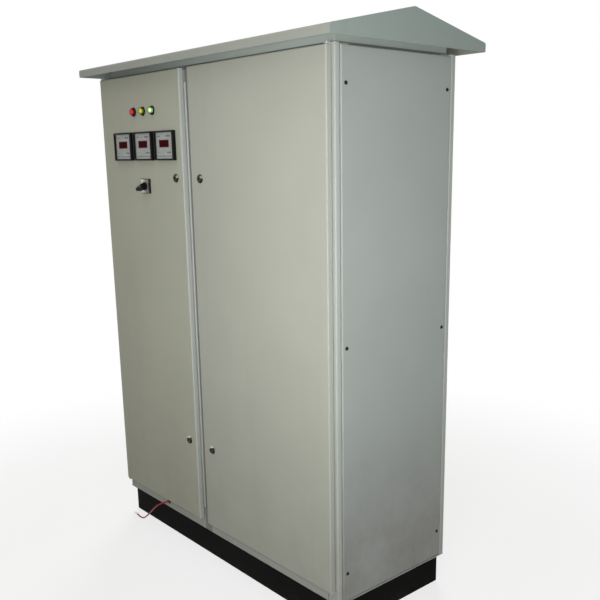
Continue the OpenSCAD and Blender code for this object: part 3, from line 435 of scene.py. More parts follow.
# Painted light: the neck and the mullion are lighter than the frame's grey, to lift them out of their
# shade.
NECK_LIT_GREY = (0.66, 0.725, 0.67)
MULLION_LIT_GREY = (0.575, 0.59, 0.56)
dress(powder_coat("mullion_paint", MULLION_LIT_GREY, grime=slit_shade), "mullion")
dress(powder_coat("tray_paint", FRAME_GREY, grime=slit_shade), "base_tray")
dress(powder_coat("deck_paint", FRAME_GREY, grime=deck_shade), "top_deck")
dress(powder_coat("neck_paint", NECK_LIT_GREY, grime=neck_shade), "canopy_neck")

# %% [markdown]
# ## Black plinth
# The plinth has the same kind of coat in black. On black, dust shows at once. It is thickest at the
# floor, so its mask is the height above the floor broken up by a noise, with a few long scuffs.

# %% Plinth coat
def black_coat(name):
    """Black coat with dust near the floor and long scuffs."""
    paint = Finish(name, specular=0.015)
    height = paint.axes()[2]
    grit = paint.noise(38, 5, 0.7)
    low = paint.step(height, 0.06, 0.0) * paint.step(grit, 0.35, 0.75)
    scuffs = paint.step(paint.noise(16, 3, 0.5, paint.stretched((0.5, 0.5, 5))), 0.66, 0.78)
    patches = paint.step(paint.noise(3), 0.35, 0.7)
    tone = paint.mix(patches, (0.0045, 0.0045, 0.0045), (0.008, 0.008, 0.0078))
    tone = paint.mix(low * 0.4, tone, (0.05, 0.046, 0.038))
    tone = paint.mix(scuffs * 0.16, tone, (0.04, 0.038, 0.035))
    paint.shade("Base Color", tone)
    paint.shade("Roughness", 0.5 + 0.28 * low + 0.12 * scuffs)
    paint.bump(paint.noise(560, 2), 0.3, 0.0005)
    return paint


dress(black_coat("plinth_black"), "plinth")
print("plinth", round(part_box("plinth")[1].z * 1000), "mm high")

# %% [markdown]
# ## Metals
# There are two kinds of bare metal on the cabinet. Zinc plate shows crystals and cloudy patches, and the
# copper bar gets the same pattern, coarser. Pins, cams and screws are smoother, with hairlines and a faint
# haze. Both are a metallic surface whose colour and roughness follow a fine pattern of their own.

# %% Metal finishes
def plated(name, light, dark, crystal, shine=(0.28, 0.46)):
    """Plate with a crystal pattern and cloudy patches."""
    metal = Finish(name, metallic=1.0)
    crystals = metal.node("ShaderNodeRGBToBW", {}, {0: metal.cells(crystal)})
    clouds = metal.noise(7, 3)
    metal.shade("Base Color", metal.mix(metal.step(crystals + 0.5 * clouds, 0.3, 1.1), dark, light))
    metal.shade("Roughness", metal.step(crystals, 0, 1, *shine) + 0.14 * clouds)
    metal.bump(metal.noise(420, 2), 0.08, 0.0003)
    return metal


def polished(name, colour, shine):
    """Steel with hairlines from wiping and a faint haze."""
    metal = Finish(name, metallic=1.0)
    lines = metal.noise(900, 2, 0.6, metal.stretched((1, 1, 0.12), (0, 0.6, 0)))
    haze = metal.noise(90, 3)
    metal.shade("Base Color", metal.mix(metal.step(haze, 0.4, 0.75), colour, tint(colour, 0.86)))
    wiped = 0.09 * metal.step(lines, 0.55, 0.8)
    metal.shade("Roughness", shine + wiped + 0.06 * metal.step(haze, 0.5, 0.8))
    metal.bump(lines, 0.05, 0.0002)
    return metal


zinc = plated("zinc_steel", (0.60, 0.615, 0.625), (0.49, 0.50, 0.515), 85)
bare_steel = polished("bare_steel", (0.36, 0.37, 0.38), 0.26)
lock_steel = polished("lock_steel", (0.12, 0.12, 0.11), 0.3)
black_steel = polished("black_steel", (0.022, 0.022, 0.024), 0.34)
copper = plated("copper", (0.60, 0.27, 0.13), (0.36, 0.15, 0.07), 34, (0.24, 0.4))
dress(zinc, "plinth_bolts", "gland_plate", "canopy_bolts", "mounting_plate", "plate_brackets", "din_rails",
      "lead_lug")
dress(bare_steel, "pivot_pins", "left_pivot_blocks", "right_pivot_blocks")
dress(lock_steel, "left_upper_lock_cam", "left_lower_lock_cam", "right_upper_lock_cam",
      "right_lower_lock_cam")
dress(black_steel, "left_panel_screws", "right_panel_screws", "rear_panel_screws")
dress(copper, "earth_bar")
print("metals:", [metal.material.name for metal in (zinc, bare_steel, lock_steel, black_steel, copper)])

# %% [markdown]
# The four lock heads are blackened, with a painted highlight: a pale notch at the right of the upper two,
# and a pale crown on the lower two. One finish does all four: a comparison tells which lock a place belongs
# to, so its offset from that lock's own centre is known, and soft steps of the offset cut out the
# highlight.

# %% Lock heads
lock_boxes = [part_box("left_lock_housings"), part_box("right_lock_housings")]
LOCK_X = [(low.x + high.x) / 2 for low, high in lock_boxes]
LOCK_RADIUS = 0.014
LOCK_Z = (lock_boxes[0][0].z + LOCK_RADIUS, lock_boxes[0][1].z - LOCK_RADIUS)
NOTCH_SIDE = (0.003, 0.006)
NOTCH_FOOT = (0.0005, 0.003)
NOTCH_TOP = (0.0105, 0.008)
CROWN_FOOT = (0.0058, 0.0108)
CROWN_SLANT = 0.3


def black_with_highlight(name):
    """Blackened metal with a painted highlight."""
    head = Finish(name, metallic=1.0)
    x, _, z = head.axes()
    is_right = x > sum(LOCK_X) / 2
    is_upper = z > sum(LOCK_Z) / 2
    across = x - LOCK_X[0] - is_right * (LOCK_X[1] - LOCK_X[0])
    up = z - LOCK_Z[0] - is_upper * (LOCK_Z[1] - LOCK_Z[0])
    # Painted highlight: the notch on the upper locks and the crown on the lower ones.
    notch = head.step(across, *NOTCH_SIDE) * head.step(up, *NOTCH_FOOT) * head.step(up, *NOTCH_TOP)
    crown = head.step(up - CROWN_SLANT * across, *CROWN_FOOT)
    painted_highlight = is_upper * notch + (1 - is_upper) * crown
    grime = head.noise(260, 3)
    tone = head.mix(head.step(grime, 0.3, 0.7), (0.012, 0.012, 0.007), (0.028, 0.028, 0.019))
    pale = head.mix(is_upper, (0.50, 0.505, 0.45), (0.26, 0.265, 0.225))
    head.shade("Base Color", head.mix(painted_highlight, tone, pale))
    head.shade("Roughness", 0.34 + 0.14 * grime)
    head.bump(grime, 0.1, 0.0003)
    return head


dress(black_with_highlight("lock_black"), "left_lock_housings", "right_lock_housings")
print("locks at x", [round(x, 3) for x in LOCK_X], "and z", [round(z, 3) for z in LOCK_Z])

# %% [markdown]
# The transformer's core is a stack of thin varnished sheets, so lines run across its edge, and its winding
# is round wire laid in layers. Both patterns are waves: a narrow one along the stack, and a rounder one
# along the height of the coil.

# %% Laminations and windings
SHEET_PITCH = 0.004
WINDING_PITCH = 0.0035


def layered(name, light, dark, axis, pitch, metallic, shine):
    """Fine layers of the given pitch along one axis, in varnish."""
    stack = Finish(name, metallic=metallic, coat=0.35)
    along = stack.axes()[axis]
    wave = stack.node("ShaderNodeMath", {"operation": "PINGPONG"}, {0: along, 1: pitch / 2}) / (pitch / 2)
    cloud = stack.noise(30, 4)
    stack.shade("Base Color", stack.mix(wave * 0.6 + 0.4 * cloud, dark, light))
    stack.shade("Roughness", shine + 0.2 * cloud)
    stack.bump(stack.step(wave, 0.0, 0.6), 0.5, 0.0006)
    return stack


dress(layered("core_steel", (0.15, 0.15, 0.155), (0.035, 0.035, 0.038), 1, SHEET_PITCH, 0.6, 0.4),
      "transformer_core")
dress(layered("winding_copper", (0.44, 0.19, 0.075), (0.16, 0.06, 0.025), 2, WINDING_PITCH, 0.85, 0.28),
      "transformer_windings")
print("layers every", SHEET_PITCH * 1000, "and", WINDING_PITCH * 1000, "mm")

# %% [markdown]
# ## Plastics and rubber
# Moulded plastic has a fine spark-eroded grain and a soft shine, and the gear inside differs only in
# grey. Rubber is matt with a paler bloom. Each is one function of a colour, so a new shade is one line.

# %% Moulded finishes
MOULD_GRAIN = 1500


def moulded(name, colour, shine=0.42, specular=0.4):
    """Moulded plastic with a fine grain, slight flow patches and handling marks."""
    plastic = Finish(name, specular=specular)
    grains = plastic.noise(MOULD_GRAIN, 1)
    flow = plastic.noise(24, 4, 0.6)
    tone = plastic.mix(plastic.step(flow, 0.35, 0.7), tint(colour, 0.86), tint(colour, 1.12))
    plastic.shade("Base Color", tone)
    plastic.shade("Roughness", shine + 0.12 * plastic.step(flow, 0.45, 0.75) + 0.06 * grains)
    plastic.bump(grains, 0.14, 0.0003)
    return plastic


def rubbery(name, colour):
    """Matt rubber with a paler bloom."""
    matt = Finish(name, specular=0.3)
    bloom = matt.noise(55, 4, 0.65)
    matt.shade("Base Color", matt.mix(matt.step(bloom, 0.4, 0.8, 0, 0.6), colour, tint(colour, 3.2)))
    matt.shade("Roughness", 0.7 + 0.2 * bloom)
    matt.bump(matt.noise(800, 2), 0.3, 0.0004)
    return matt


black_plastic = moulded("black_plastic", (0.0065, 0.0065, 0.006), 0.4, 0.08)
gear_grey = moulded("gear_grey", (0.07, 0.075, 0.08))
duct_grey = moulded("duct_grey", (0.34, 0.36, 0.37), 0.48)
terminal_grey = moulded("terminal_grey", (0.28, 0.30, 0.29), 0.5)
rubber = rubbery("rubber", (0.013, 0.013, 0.014))
dress(black_plastic, "cable_glands", "breaker_toggle", "lamp_bodies", "selector_switch", "selector_knob",
      "meter_housing_1", "meter_housing_2", "meter_housing_3")
dress(gear_grey, "main_breaker", "contactors")
dress(duct_grey, "wiring_ducts")
dress(terminal_grey, "terminal_strip")
dress(rubber, "lead_grommet", "left_door_gasket", "right_door_gasket")
print("plastics:", [made.material.name for made in (black_plastic, gear_grey, duct_grey, terminal_grey)])

# %% [markdown]
# A wire's skin is extruded plastic. It is smooth, with a low shine, and handling leaves darker scuffs.
# One noise drives the colour, the roughness and a faint bump. The lead is red. Black wires come later.

# %% Insulation of the wires
def insulation(name, colour):
    """Extruded skin of a wire, with faint scuffs."""
    skin = Finish(name, specular=0.2, coat=0.04)
    scuff = skin.noise(160, 4, 0.65)
    skin.shade("Base Color", skin.mix(skin.step(scuff, 0.45, 0.8), colour, tint(colour, 0.62)))
    skin.shade("Roughness", 0.32 + 0.2 * scuff)
    skin.bump(scuff, 0.1, 0.0003)
    return skin


red_skin = insulation("lead_red", (0.40, 0.014, 0.022))
lead_wire.data.materials.append(red_skin.material)
print("lead dressed in", red_skin.material.name)

# %% [markdown]
# ## Instrument faces
# Each meter has a printed pale plate around its window. The print is a few plain rules and bars, and it
# repeats from meter to meter, so the material folds the X coordinate onto one meter before it draws: it
# subtracts the nearest multiple of the pitch. A bar is then two comparisons multiplied.

# %% Meter plates
meter_boxes = [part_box(f"meter_housing_{i}") for i in (1, 2, 3)]
meter_centres = [(low + high) / 2 for low, high in meter_boxes]
METER_PITCH = meter_centres[1].x - meter_centres[0].x
METER_X = meter_centres[1].x
METER_Z = meter_centres[1].z
display_low, display_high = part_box("meter_displays")
DISPLAY_Z = (display_low.z + display_high.z) / 2
WINDOW_UP = DISPLAY_Z - METER_Z
WINDOW_HALF = ((display_high.x - display_low.x - 2 * METER_PITCH) / 2, (display_high.z - display_low.z) / 2)
WINDOW_LINE = (0.003, 0.0025)
LEFT_SHADE_BAND = (-0.045, -0.051)
PLATE_MARKS = [
    ((0.002, -0.0345), (0.045, 0.0013)), ((-0.032, 0.030), (0.009, 0.0016)),
    ((0.026, 0.0305), (0.013, 0.0030)), ((0.030, -0.0225), (0.013, 0.0024)),
    ((-0.034, -0.0225), (0.004, 0.0012)),
]
print("window half sizes", [round(half * 1000, 1) for half in WINDOW_HALF], "mm")


def meter_print(name):
    """Pale plate with plain bars, a line around its window and a band of painted shade at its left."""
    plate = Finish(name, specular=0.4)
    x, _, z = plate.axes()
    offset = x - METER_X
    across = offset - round(offset / METER_PITCH) * METER_PITCH
    up = z - METER_Z
    marks = sum(bar(across, up, centre, half) for centre, half in PLATE_MARKS)
    cloud = plate.noise(40, 3)
    base = plate.mix(plate.step(cloud, 0.35, 0.7), (0.36, 0.37, 0.352), (0.43, 0.44, 0.42))
    # Painted shade: a dark band down the left of each plate, next to the bezel.
    base = plate.mix(plate.step(across, *LEFT_SHADE_BAND), base, (0.03, 0.032, 0.03))
    line_half = [half + line for half, line in zip(WINDOW_HALF, WINDOW_LINE)]
    frame_line = bar(across, up, (0, WINDOW_UP), line_half)
    base = plate.mix(frame_line, base, (0.05, 0.008, 0.010))
    plate.shade("Base Color", plate.mix(marks * 0.75, base, (0.07, 0.07, 0.066)))
    plate.shade("Roughness", 0.36 + 0.14 * cloud)
    plate.bump(plate.noise(900, 1), 0.08, 0.0003)
    return plate


dress(meter_print("meter_face"), "meter_faces")

# %% [markdown]
# Behind each red window are three numerals of seven bars. They are off, so they show only as a slightly
# lighter red. The X coordinate is folded twice here: first onto one meter, then onto one numeral.

# %% Display windows
NUMERAL_PITCH = 0.0165
STROKES = [((0, 0.0062), (0.0032, 0.0009)), ((0, 0), (0.0032, 0.0009)), ((0, -0.0062), (0.0032, 0.0009))]
STROKES += [((side * 0.0046, up * 0.0031), (0.0009, 0.0023)) for side in (-1, 1) for up in (-1, 1)]
print("strokes in a numeral:", len(STROKES))


def dark_display(name):
    """Dark red window with unlit numerals."""
    glass = Finish(name, specular=0.008)
    x, _, z = glass.axes()
    offset = x - METER_X
    across = offset - round(offset / METER_PITCH) * METER_PITCH
    within = across - round(across / NUMERAL_PITCH) * NUMERAL_PITCH
    numerals = sum(bar(within, z - DISPLAY_Z, centre, half) for centre, half in STROKES)
    cloud = glass.noise(90, 3)
    base = glass.mix(cloud, (0.030, 0.0006, 0.0012), (0.050, 0.0012, 0.0022))
    glass.shade("Base Color", glass.mix(numerals * 0.6, base, (0.13, 0.004, 0.006)))
    glass.shade("Roughness", 0.3 + 0.2 * cloud)
    return glass


dress(dark_display("display_red"), "meter_displays")

# %% [markdown]
# ## Selector plate
# The switch's plate is satin metal with a plain dot for each of the lever's four places, 45 degrees apart
# on a circle. A dot is all that lies within a small distance of a point. The plate has a painted highlight
# at its left and a band of painted shadow down its right.

# %% Selector plate
switch_low, switch_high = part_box("selector_plate")
SWITCH_X = (switch_low.x + switch_high.x) / 2
SWITCH_Z = (switch_low.z + switch_high.z) / 2
LEVER_REST = math.radians(248)
DOT_CIRCLE = 0.0195
DOT_RADIUS = 0.0013
DOT_TURN = math.radians(45)
SHADOW_BAND_LEFT = 0.0205
HIGHLIGHT_PART = (0.008, -0.020)
print("selector centre", round(SWITCH_X, 4), round(SWITCH_Z, 4))


def selector_print(name):
    """Satin plate with four dots, a band of painted shadow at its right and a painted highlight at its
    left.
    """
    plate = Finish(name, specular=0.3)
    x, _, z = plate.axes()
    across = x - SWITCH_X
    up = z - SWITCH_Z
    # The marks start with the band of painted shadow at the right. The dots added to it are print.
    marks = across > SHADOW_BAND_LEFT
    for place in range(4):
        angle = LEVER_REST + place * DOT_TURN
        right_by = across - DOT_CIRCLE * math.sin(angle)
        up_by = up - DOT_CIRCLE * math.cos(angle)
        marks = marks + ((right_by * right_by + up_by * up_by) < DOT_RADIUS ** 2)
    brushed = plate.noise(700, 2, 0.6, plate.stretched((0.04, 1, 1)))
    # Painted highlight at the plate's left.
    painted_highlight = plate.step(across, *HIGHLIGHT_PART)
    base = plate.mix(brushed, (0.20, 0.20, 0.155), (0.26, 0.26, 0.21))
    base = plate.mix(painted_highlight, base, (0.80, 0.82, 0.71))
    plate.shade("Base Color", plate.mix(marks, base, (0.012, 0.012, 0.010)))
    plate.shade("Roughness", 0.3 + 0.16 * brushed)
    plate.bump(brushed, 0.06, 0.0002)
    return plate


dress(selector_print("silver_plate"), "selector_plate")

# %% [markdown]
# ## Building pieces
# New pieces are small bmesh models. The helper below turns a bmesh into an object on a body of the frame.
# Round things are a profile spun about an axis: a few vertices, one spin, doubles merged, and the normals
# recalculated.

# %% Piece helpers
def piece(name, shape, body, finish, slot):
    """An object from a bmesh, in its finish, riding on a CAD body."""
    mesh = bpy.data.meshes.new(name)
    shape.to_mesh(mesh)
    shape.free()
    mesh.materials.append(finish.material)
    made = bpy.data.objects.new(name, mesh)
    bpy.context.scene.collection.objects.link(made)
    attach(made, body)
    return made


def smooth(shape, flat_above=math.radians(38)):
    """Shades the faces round, with sharp edges where they meet at a larger angle."""
    for face in shape.faces:
        face.smooth = True
    for edge in shape.edges:
        edge.smooth = edge.calc_face_angle(0) < flat_above


def spun(shape, profile, place, steps=48, axis=(0, 1, 0)):
    """Adds a turned form to a bmesh: profile gives (radius, depth) along the axis, from place."""
    start = [shape.verts.new((radius, depth, 0)) for radius, depth in profile]
    edges = [shape.edges.new(pair) for pair in zip(start, start[1:])]
    bmesh.ops.spin(shape, geom=start + edges, cent=(0, 0, 0), axis=(0, 1, 0), dvec=(0, 0, 0),
                   angle=math.tau, steps=steps, use_merge=True, use_normal_flip=False)
    bmesh.ops.remove_doubles(shape, verts=[v for v in shape.verts if not v.tag], dist=1e-6)
    fresh = [v for v in shape.verts if not v.tag]
    turn = Vector((0, 1, 0)).rotation_difference(Vector(axis)).to_matrix()
    bmesh.ops.rotate(shape, verts=fresh, cent=(0, 0, 0), matrix=turn)
    bmesh.ops.translate(shape, verts=fresh, vec=place)
    bmesh.ops.recalc_face_normals(shape, faces=[f for f in shape.faces if not f.verts[0].tag])
    for vert in fresh:
        vert.tag = True


print("bodies that a piece can ride on:", len(frame["bodies"]))

# %% [markdown]
# ## Pilot lamps
# The three lamps are red, yellow and green. Each has a black rim and a domed lens whose inside is cut into
# rings, which show through as fine circles. The dome is a short profile, spun, and the rings are in its
# finish, because they lie under a smooth skin. The finish is coloured plastic, darker at its rim, with a
# painted highlight on the side that faces the room's light, which also glows by emission.

# %% Lamp lenses
RING_WIDTH = 0.0008
SPOT_OFFSET = 0.62
HIGHLIGHT_FADE = (0.85, 0.1)
RIM_FADE = (0.82, 0.97)
LENS_COVER = 0.0004


def lens_plastic(name, rim, middle, core, lit, centre_x, centre_z, radius):
    """Translucent coloured lens, darker at the rim, with a painted highlight that glows on the side facing
    the light.
    """
    glass = Finish(name, roughness=0.2, coat=0.06, specular=0.12)
    x, _, z = glass.axes()
    away = ((x - centre_x) * (x - centre_x) + (z - centre_z) * (z - centre_z)) ** 0.5
    rings = glass.node("ShaderNodeMath", {"operation": "PINGPONG"}, {0: away, 1: RING_WIDTH}) / RING_WIDTH
    towards_light = x - centre_x - radius * SPOT_OFFSET
    from_spot = (towards_light * towards_light + (z - centre_z) * (z - centre_z)) ** 0.5
    # Painted highlight: a bright spot on the side of the lens that faces the light.
    highlight_spot = glass.step(from_spot, *(radius * share for share in HIGHLIGHT_FADE))
    tone = glass.mix(highlight_spot * 0.85 + 0.15 * rings, middle, core)
    at_rim = glass.step(away, *(radius * share for share in RIM_FADE))
    glass.shade("Base Color", glass.mix(at_rim, tone, rim))
    # The painted highlight also glows by emission.
    glass.shade("Emission Color", glass.mix(highlight_spot, (0, 0, 0), core))
    glass.shader.inputs["Emission Strength"].default_value = lit
    glass.bump(rings, 0.25, 0.0004)
    return glass


# Columns: the rim, the middle, the painted highlight's colour, and how strongly the highlight glows.
LAMP_COLOURS = {
    "red": ((0.05, 0.001, 0.002), (0.46, 0.016, 0.014), (0.70, 0.034, 0.034), 0.30),
    "yellow": ((0.035, 0.032, 0.001), (0.34, 0.33, 0.022), (0.62, 0.63, 0.08), 0.34),
    "green": ((0.004, 0.025, 0.004), (0.14, 0.32, 0.11), (0.58, 0.95, 0.40), 0.80),
}
for lamp, (rim, middle, core, lit) in LAMP_COLOURS.items():
    low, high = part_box(f"lamp_lens_{lamp}")
    centre = (low + high) / 2
    radius = (high.x - low.x) / 2 + LENS_COVER
    dome = high.y - low.y
    profile = [(radius, 0), (radius, -0.22 * dome)]
    for degrees in range(10, 90, 10):
        angle = math.radians(degrees)
        profile.append((radius * math.cos(angle), -(0.27 + 0.72 * math.sin(angle)) * dome))
    profile.append((0, -0.995 * dome))
    shape = bmesh.new()
    spun(shape, profile, (centre.x, high.y, centre.z))
    smooth(shape)
    finish = lens_plastic(f"lens_{lamp}", rim, middle, core, lit, centre.x, centre.z, radius)
    lens_piece = piece(f"lamp_dome_{lamp}", shape, "left_door", finish, f"lens_{lamp}")
    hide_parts(f"lamp_lens_{lamp}")
    print(lens_piece.name, len(lens_piece.data.polygons), "faces")

# %% [markdown]
# ## Knob cap
# A grey cap in the middle of the selector's knob hides the screw that holds it on its shaft. It is a low
# dome with a groove around it, so it is a short profile, spun about the shaft. It turns with the knob.

# %% Knob cap
knob_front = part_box("selector_knob")[0].y
CAP_PROFILE = [(0.0046, 0.0004), (0.0046, -0.0003), (0.0041, -0.0003), (0.0038, -0.0007), (0.002, -0.0009),
               (0, -0.0009)]
cap_shape = bmesh.new()
spun(cap_shape, CAP_PROFILE, (SWITCH_X, knob_front, SWITCH_Z), 32)
smooth(cap_shape)
cap_grey = moulded("cap_grey", (0.05, 0.052, 0.05), 0.4)
knob_cap = piece("knob_cap", cap_shape, "selector", cap_grey, "gear_grey")
print("cap", len(knob_cap.data.polygons), "faces")

# %% [markdown]
# ## Screws of the gear
# Breaker, contactors, terminals, meters and the earth bar are all full of screws, and they tell the eye how
# big things are. A screw head is a short profile turned about its axis, with a dished middle for the tool.
# There are many, so each has few faces, and all the heads of one kind of gear share one mesh.

# %% Screw heads
def add_screw(shape, place, radius, axis=(0, 1, 0)):
    """Adds a domed screw head. The axis points into what it holds."""
    profile = [(radius, 0), (radius, -0.45 * radius), (0.8 * radius, -0.7 * radius),
               (0.45 * radius, -0.75 * radius), (0.38 * radius, -0.4 * radius), (0, -0.4 * radius)]
    spun(shape, profile, place, 12, axis)


def screw_set(name, places, radius, body, axis=(0, 1, 0), finish=zinc, slot="zinc_steel"):
    """One piece with a screw head of the given radius at each place."""
    shape = bmesh.new()
    for place in places:
        add_screw(shape, place, radius, axis)
    smooth(shape)
    piece(name, shape, body, finish, slot)
    print(name, len(places), "screws")


breaker_low, breaker_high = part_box("main_breaker")
BREAKER_X = (breaker_low.x + breaker_high.x) / 2
PHASES = [BREAKER_X + i * (breaker_high.x - breaker_low.x) / 3 for i in (-1, 0, 1)]
CLAMP_INSET = 0.014
pocket_floor = breaker_high.y - 0.020
breaker_ends = (breaker_low.z + CLAMP_INSET, breaker_high.z - CLAMP_INSET)
screw_set("breaker_screws", [(x, pocket_floor, z) for x in PHASES for z in breaker_ends], 0.007, "cabinet")
cover_places = [(BREAKER_X + side * 0.058, breaker_low.y, breaker_low.z + up)
                for side in (-1, 1) for up in (0.086, 0.161)]
screw_set("breaker_cover_screws", cover_places, 0.0035, "cabinet", finish=bare_steel, slot="bare_steel")

contactor_low, contactor_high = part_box("contactors")
CONTACTOR_X = [contactor_low.x + 0.041 + 0.1 * i for i in range(3)]
CONTACTOR_Z = (contactor_low.z + contactor_high.z) / 2
poles = [x + 0.0238 * k for x in CONTACTOR_X for k in (-1, 0, 1)]
pole_back = contactor_high.y - 0.055 + 0.024
pole_places = [(x, pole_back, CONTACTOR_Z + side * 0.0465) for x in poles for side in (-1, 1)]
screw_set("contactor_screws", pole_places, 0.0046, "cabinet")

# %% [markdown]
# The terminal strip has one clamp screw above and one below the middle of each terminal. The terminals are
# 25 mm apart, so the places are simple sums. The meters carry their screws on the back, inside the door.

# %% Terminal, earth and meter screws
strip_low, strip_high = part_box("terminal_strip")
TERMINAL_PITCH = 0.025
TERMINALS = [strip_low.x + TERMINAL_PITCH / 2 + TERMINAL_PITCH * i for i in range(24)]
STRIP_Z = (strip_low.z + strip_high.z) / 2
strip_front = strip_low.y
clamp_places = [(x, strip_front + 0.0005, STRIP_Z + side * 0.0075) for x in TERMINALS for side in (-1, 1)]
screw_set("terminal_screws", clamp_places, 0.0042, "cabinet")
bar_low, bar_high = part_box("earth_bar")
EARTH_X = [-0.16 + 0.04 * i for i in range(9)]
EARTH_Z = (bar_low.z + bar_high.z) / 2
screw_set("earth_screws", [(x, bar_low.y, EARTH_Z) for x in EARTH_X], 0.0065, "cabinet")
meter_back = meter_boxes[0][1].y
meter_screws = [(centre.x + 0.012 * (k - 2.5), meter_back, METER_Z - 0.028) for centre in meter_centres
                for k in range(6)]
screw_set("meter_screws", meter_screws, 0.004, "left_door", (0, -1, 0))

# %% [markdown]
# ## Contactor covers
# A contactor's front carries a raised cover with a sliding indicator in a window. The cover starts as a
# bevelled block, whose front face is inset and pushed in, which makes the window in two operators.

# %% Contactor covers
def add_block(shape, low, high, soften):
    """Adds a box between two corners, with its edges bevelled."""
    low, high = Vector(low), Vector(high)
    place = Matrix.Translation((low + high) / 2) @ Matrix.Diagonal((*(high - low), 1))
    corners = bmesh.ops.create_cube(shape, size=1, matrix=place)["verts"]
    edges = list({edge for vert in corners for edge in vert.link_edges})
    bmesh.ops.bevel(shape, geom=edges, offset=soften, offset_type="OFFSET", affect="EDGES", segments=1,
                    profile=0.5, material=-1)


covers = bmesh.new()
for x in CONTACTOR_X:
    add_block(covers, (x - 0.031, contactor_low.y - 0.004, CONTACTOR_Z - 0.019),
              (x + 0.031, contactor_low.y + 0.002, CONTACTOR_Z + 0.019), 0.0012)
fronts = [face for face in covers.faces if face.normal.y < -0.9 and face.calc_area() > 0.001]
bmesh.ops.inset_individual(covers, faces=fronts, thickness=0.009, depth=0)
bmesh.ops.inset_individual(covers, faces=fronts, thickness=0.0008, depth=-0.0022)
cover_grey = moulded("cover_grey", (0.16, 0.165, 0.17))
piece("contactor_covers", covers, "cabinet", cover_grey, "gear_grey")

sliders = bmesh.new()
for x in CONTACTOR_X:
    add_block(sliders, (x - 0.008, contactor_low.y - 0.0042, CONTACTOR_Z - 0.005),
              (x + 0.008, contactor_low.y - 0.0012, CONTACTOR_Z + 0.005), 0.0008)
piece("contactor_sliders", sliders, "cabinet", black_plastic, "black_plastic")
print("covers and sliders", len(CONTACTOR_X))

# %% [markdown]
# ## Terminal tags
# Each terminal has a plain white tag between its two screws. A tag is a thin block with softened edges, so
# the cover's helper makes it too, and all the tags share one mesh.

# %% Terminal tags
tags = bmesh.new()
for x in TERMINALS:
    add_block(tags, (x - 0.0085, strip_front - 0.0008, STRIP_Z - 0.0023),
              (x + 0.0085, strip_front + 0.0006, STRIP_Z + 0.0023), 0.0004)
tag_white = moulded("tag_white", (0.62, 0.62, 0.60), 0.4)
piece("terminal_tags", tags, "cabinet", tag_white, "terminal_grey")
print("tags", len(TERMINALS))

# %% [markdown]
# ## Wiring
# Wires leave the clamps, bow out a little and go through the slots of the ducts, where the duct hides
# them. Each group is one curve object with many short splines, because they share a thickness and a
# colour. A wire goes to the slot that is nearest to its clamp.

# %% Control wires
duct_low, duct_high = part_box("wiring_ducts")
DUCT_HALF = 0.030
MIDDLE_DUCT_Z = 0.7700
DUCT_Z = (duct_low.z + DUCT_HALF, MIDDLE_DUCT_Z, duct_high.z - DUCT_HALF)
SLOT_PITCH = (duct_high.x - duct_low.x) / 20
DUCT_MIDDLE = (duct_low.y + duct_high.y) / 2


def nearest_slot(x):
    return (round(x / SLOT_PITCH - 0.5) + 0.5) * SLOT_PITCH


def wire_to_duct(x, y, z, duct, spread=0.0):
    """A route from a clamp at (x, y, z) into the nearest slot of a duct above or below it."""
    up = 1 if duct > z else -1
    slot = nearest_slot(x) + spread
    mouth = duct - up * DUCT_HALF
    return [(x, y, z), (x, y - 0.004, z + up * 0.012), (x, y - 0.007, z + up * 0.03),
            (slot, DUCT_MIDDLE - 0.012, mouth - up * 0.016), (slot, DUCT_MIDDLE - 0.006, mouth),
            (slot, DUCT_MIDDLE, mouth + up * 0.014)]


def wiring(name, routes, radius, finish):
    """One piece with a wire along each route."""
    wires = smooth_line(name, routes, radius, 1)
    wires.data.materials.append(finish.material)
    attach(wires, "cabinet")
    print(name, len(routes), "wires")


black_skin = insulation("wire_black", (0.010, 0.010, 0.011))
clamp_y = strip_high.y - 0.016
CONTROL_RADIUS = 0.0014
spreads = [(x, 0.0015 * (-1) ** i) for i, x in enumerate(TERMINALS)]
lower = [wire_to_duct(x, clamp_y, strip_low.z + 0.002, DUCT_Z[0], spread) for x, spread in spreads]
upper = [wire_to_duct(x, clamp_y, strip_high.z - 0.002, DUCT_Z[1], spread) for x, spread in spreads]
wiring("terminal_wires_lower", lower, CONTROL_RADIUS, black_skin)
wiring("terminal_wires_upper", upper, CONTROL_RADIUS, red_skin)

# %% [markdown]
# Power needs thicker wires. The contactors' go straight into the ducts above and below. The breaker's lower
# cables do too, but its upper ones have to turn: they rise, bend over to the left, run down beside the
# breaker and enter the end of the top duct. The three lie side by side, so each takes a wider turn.

# %% Contactor and breaker wires
pole_y = pole_back - 0.008
pole_top = CONTACTOR_Z + 0.043
pole_routes = [wire_to_duct(x, pole_y, pole_top, DUCT_Z[2]) for x in poles]
pole_routes += [wire_to_duct(x, pole_y, 2 * CONTACTOR_Z - pole_top, DUCT_Z[1]) for x in poles]
wiring("contactor_wires", pole_routes, 0.0021, black_skin)

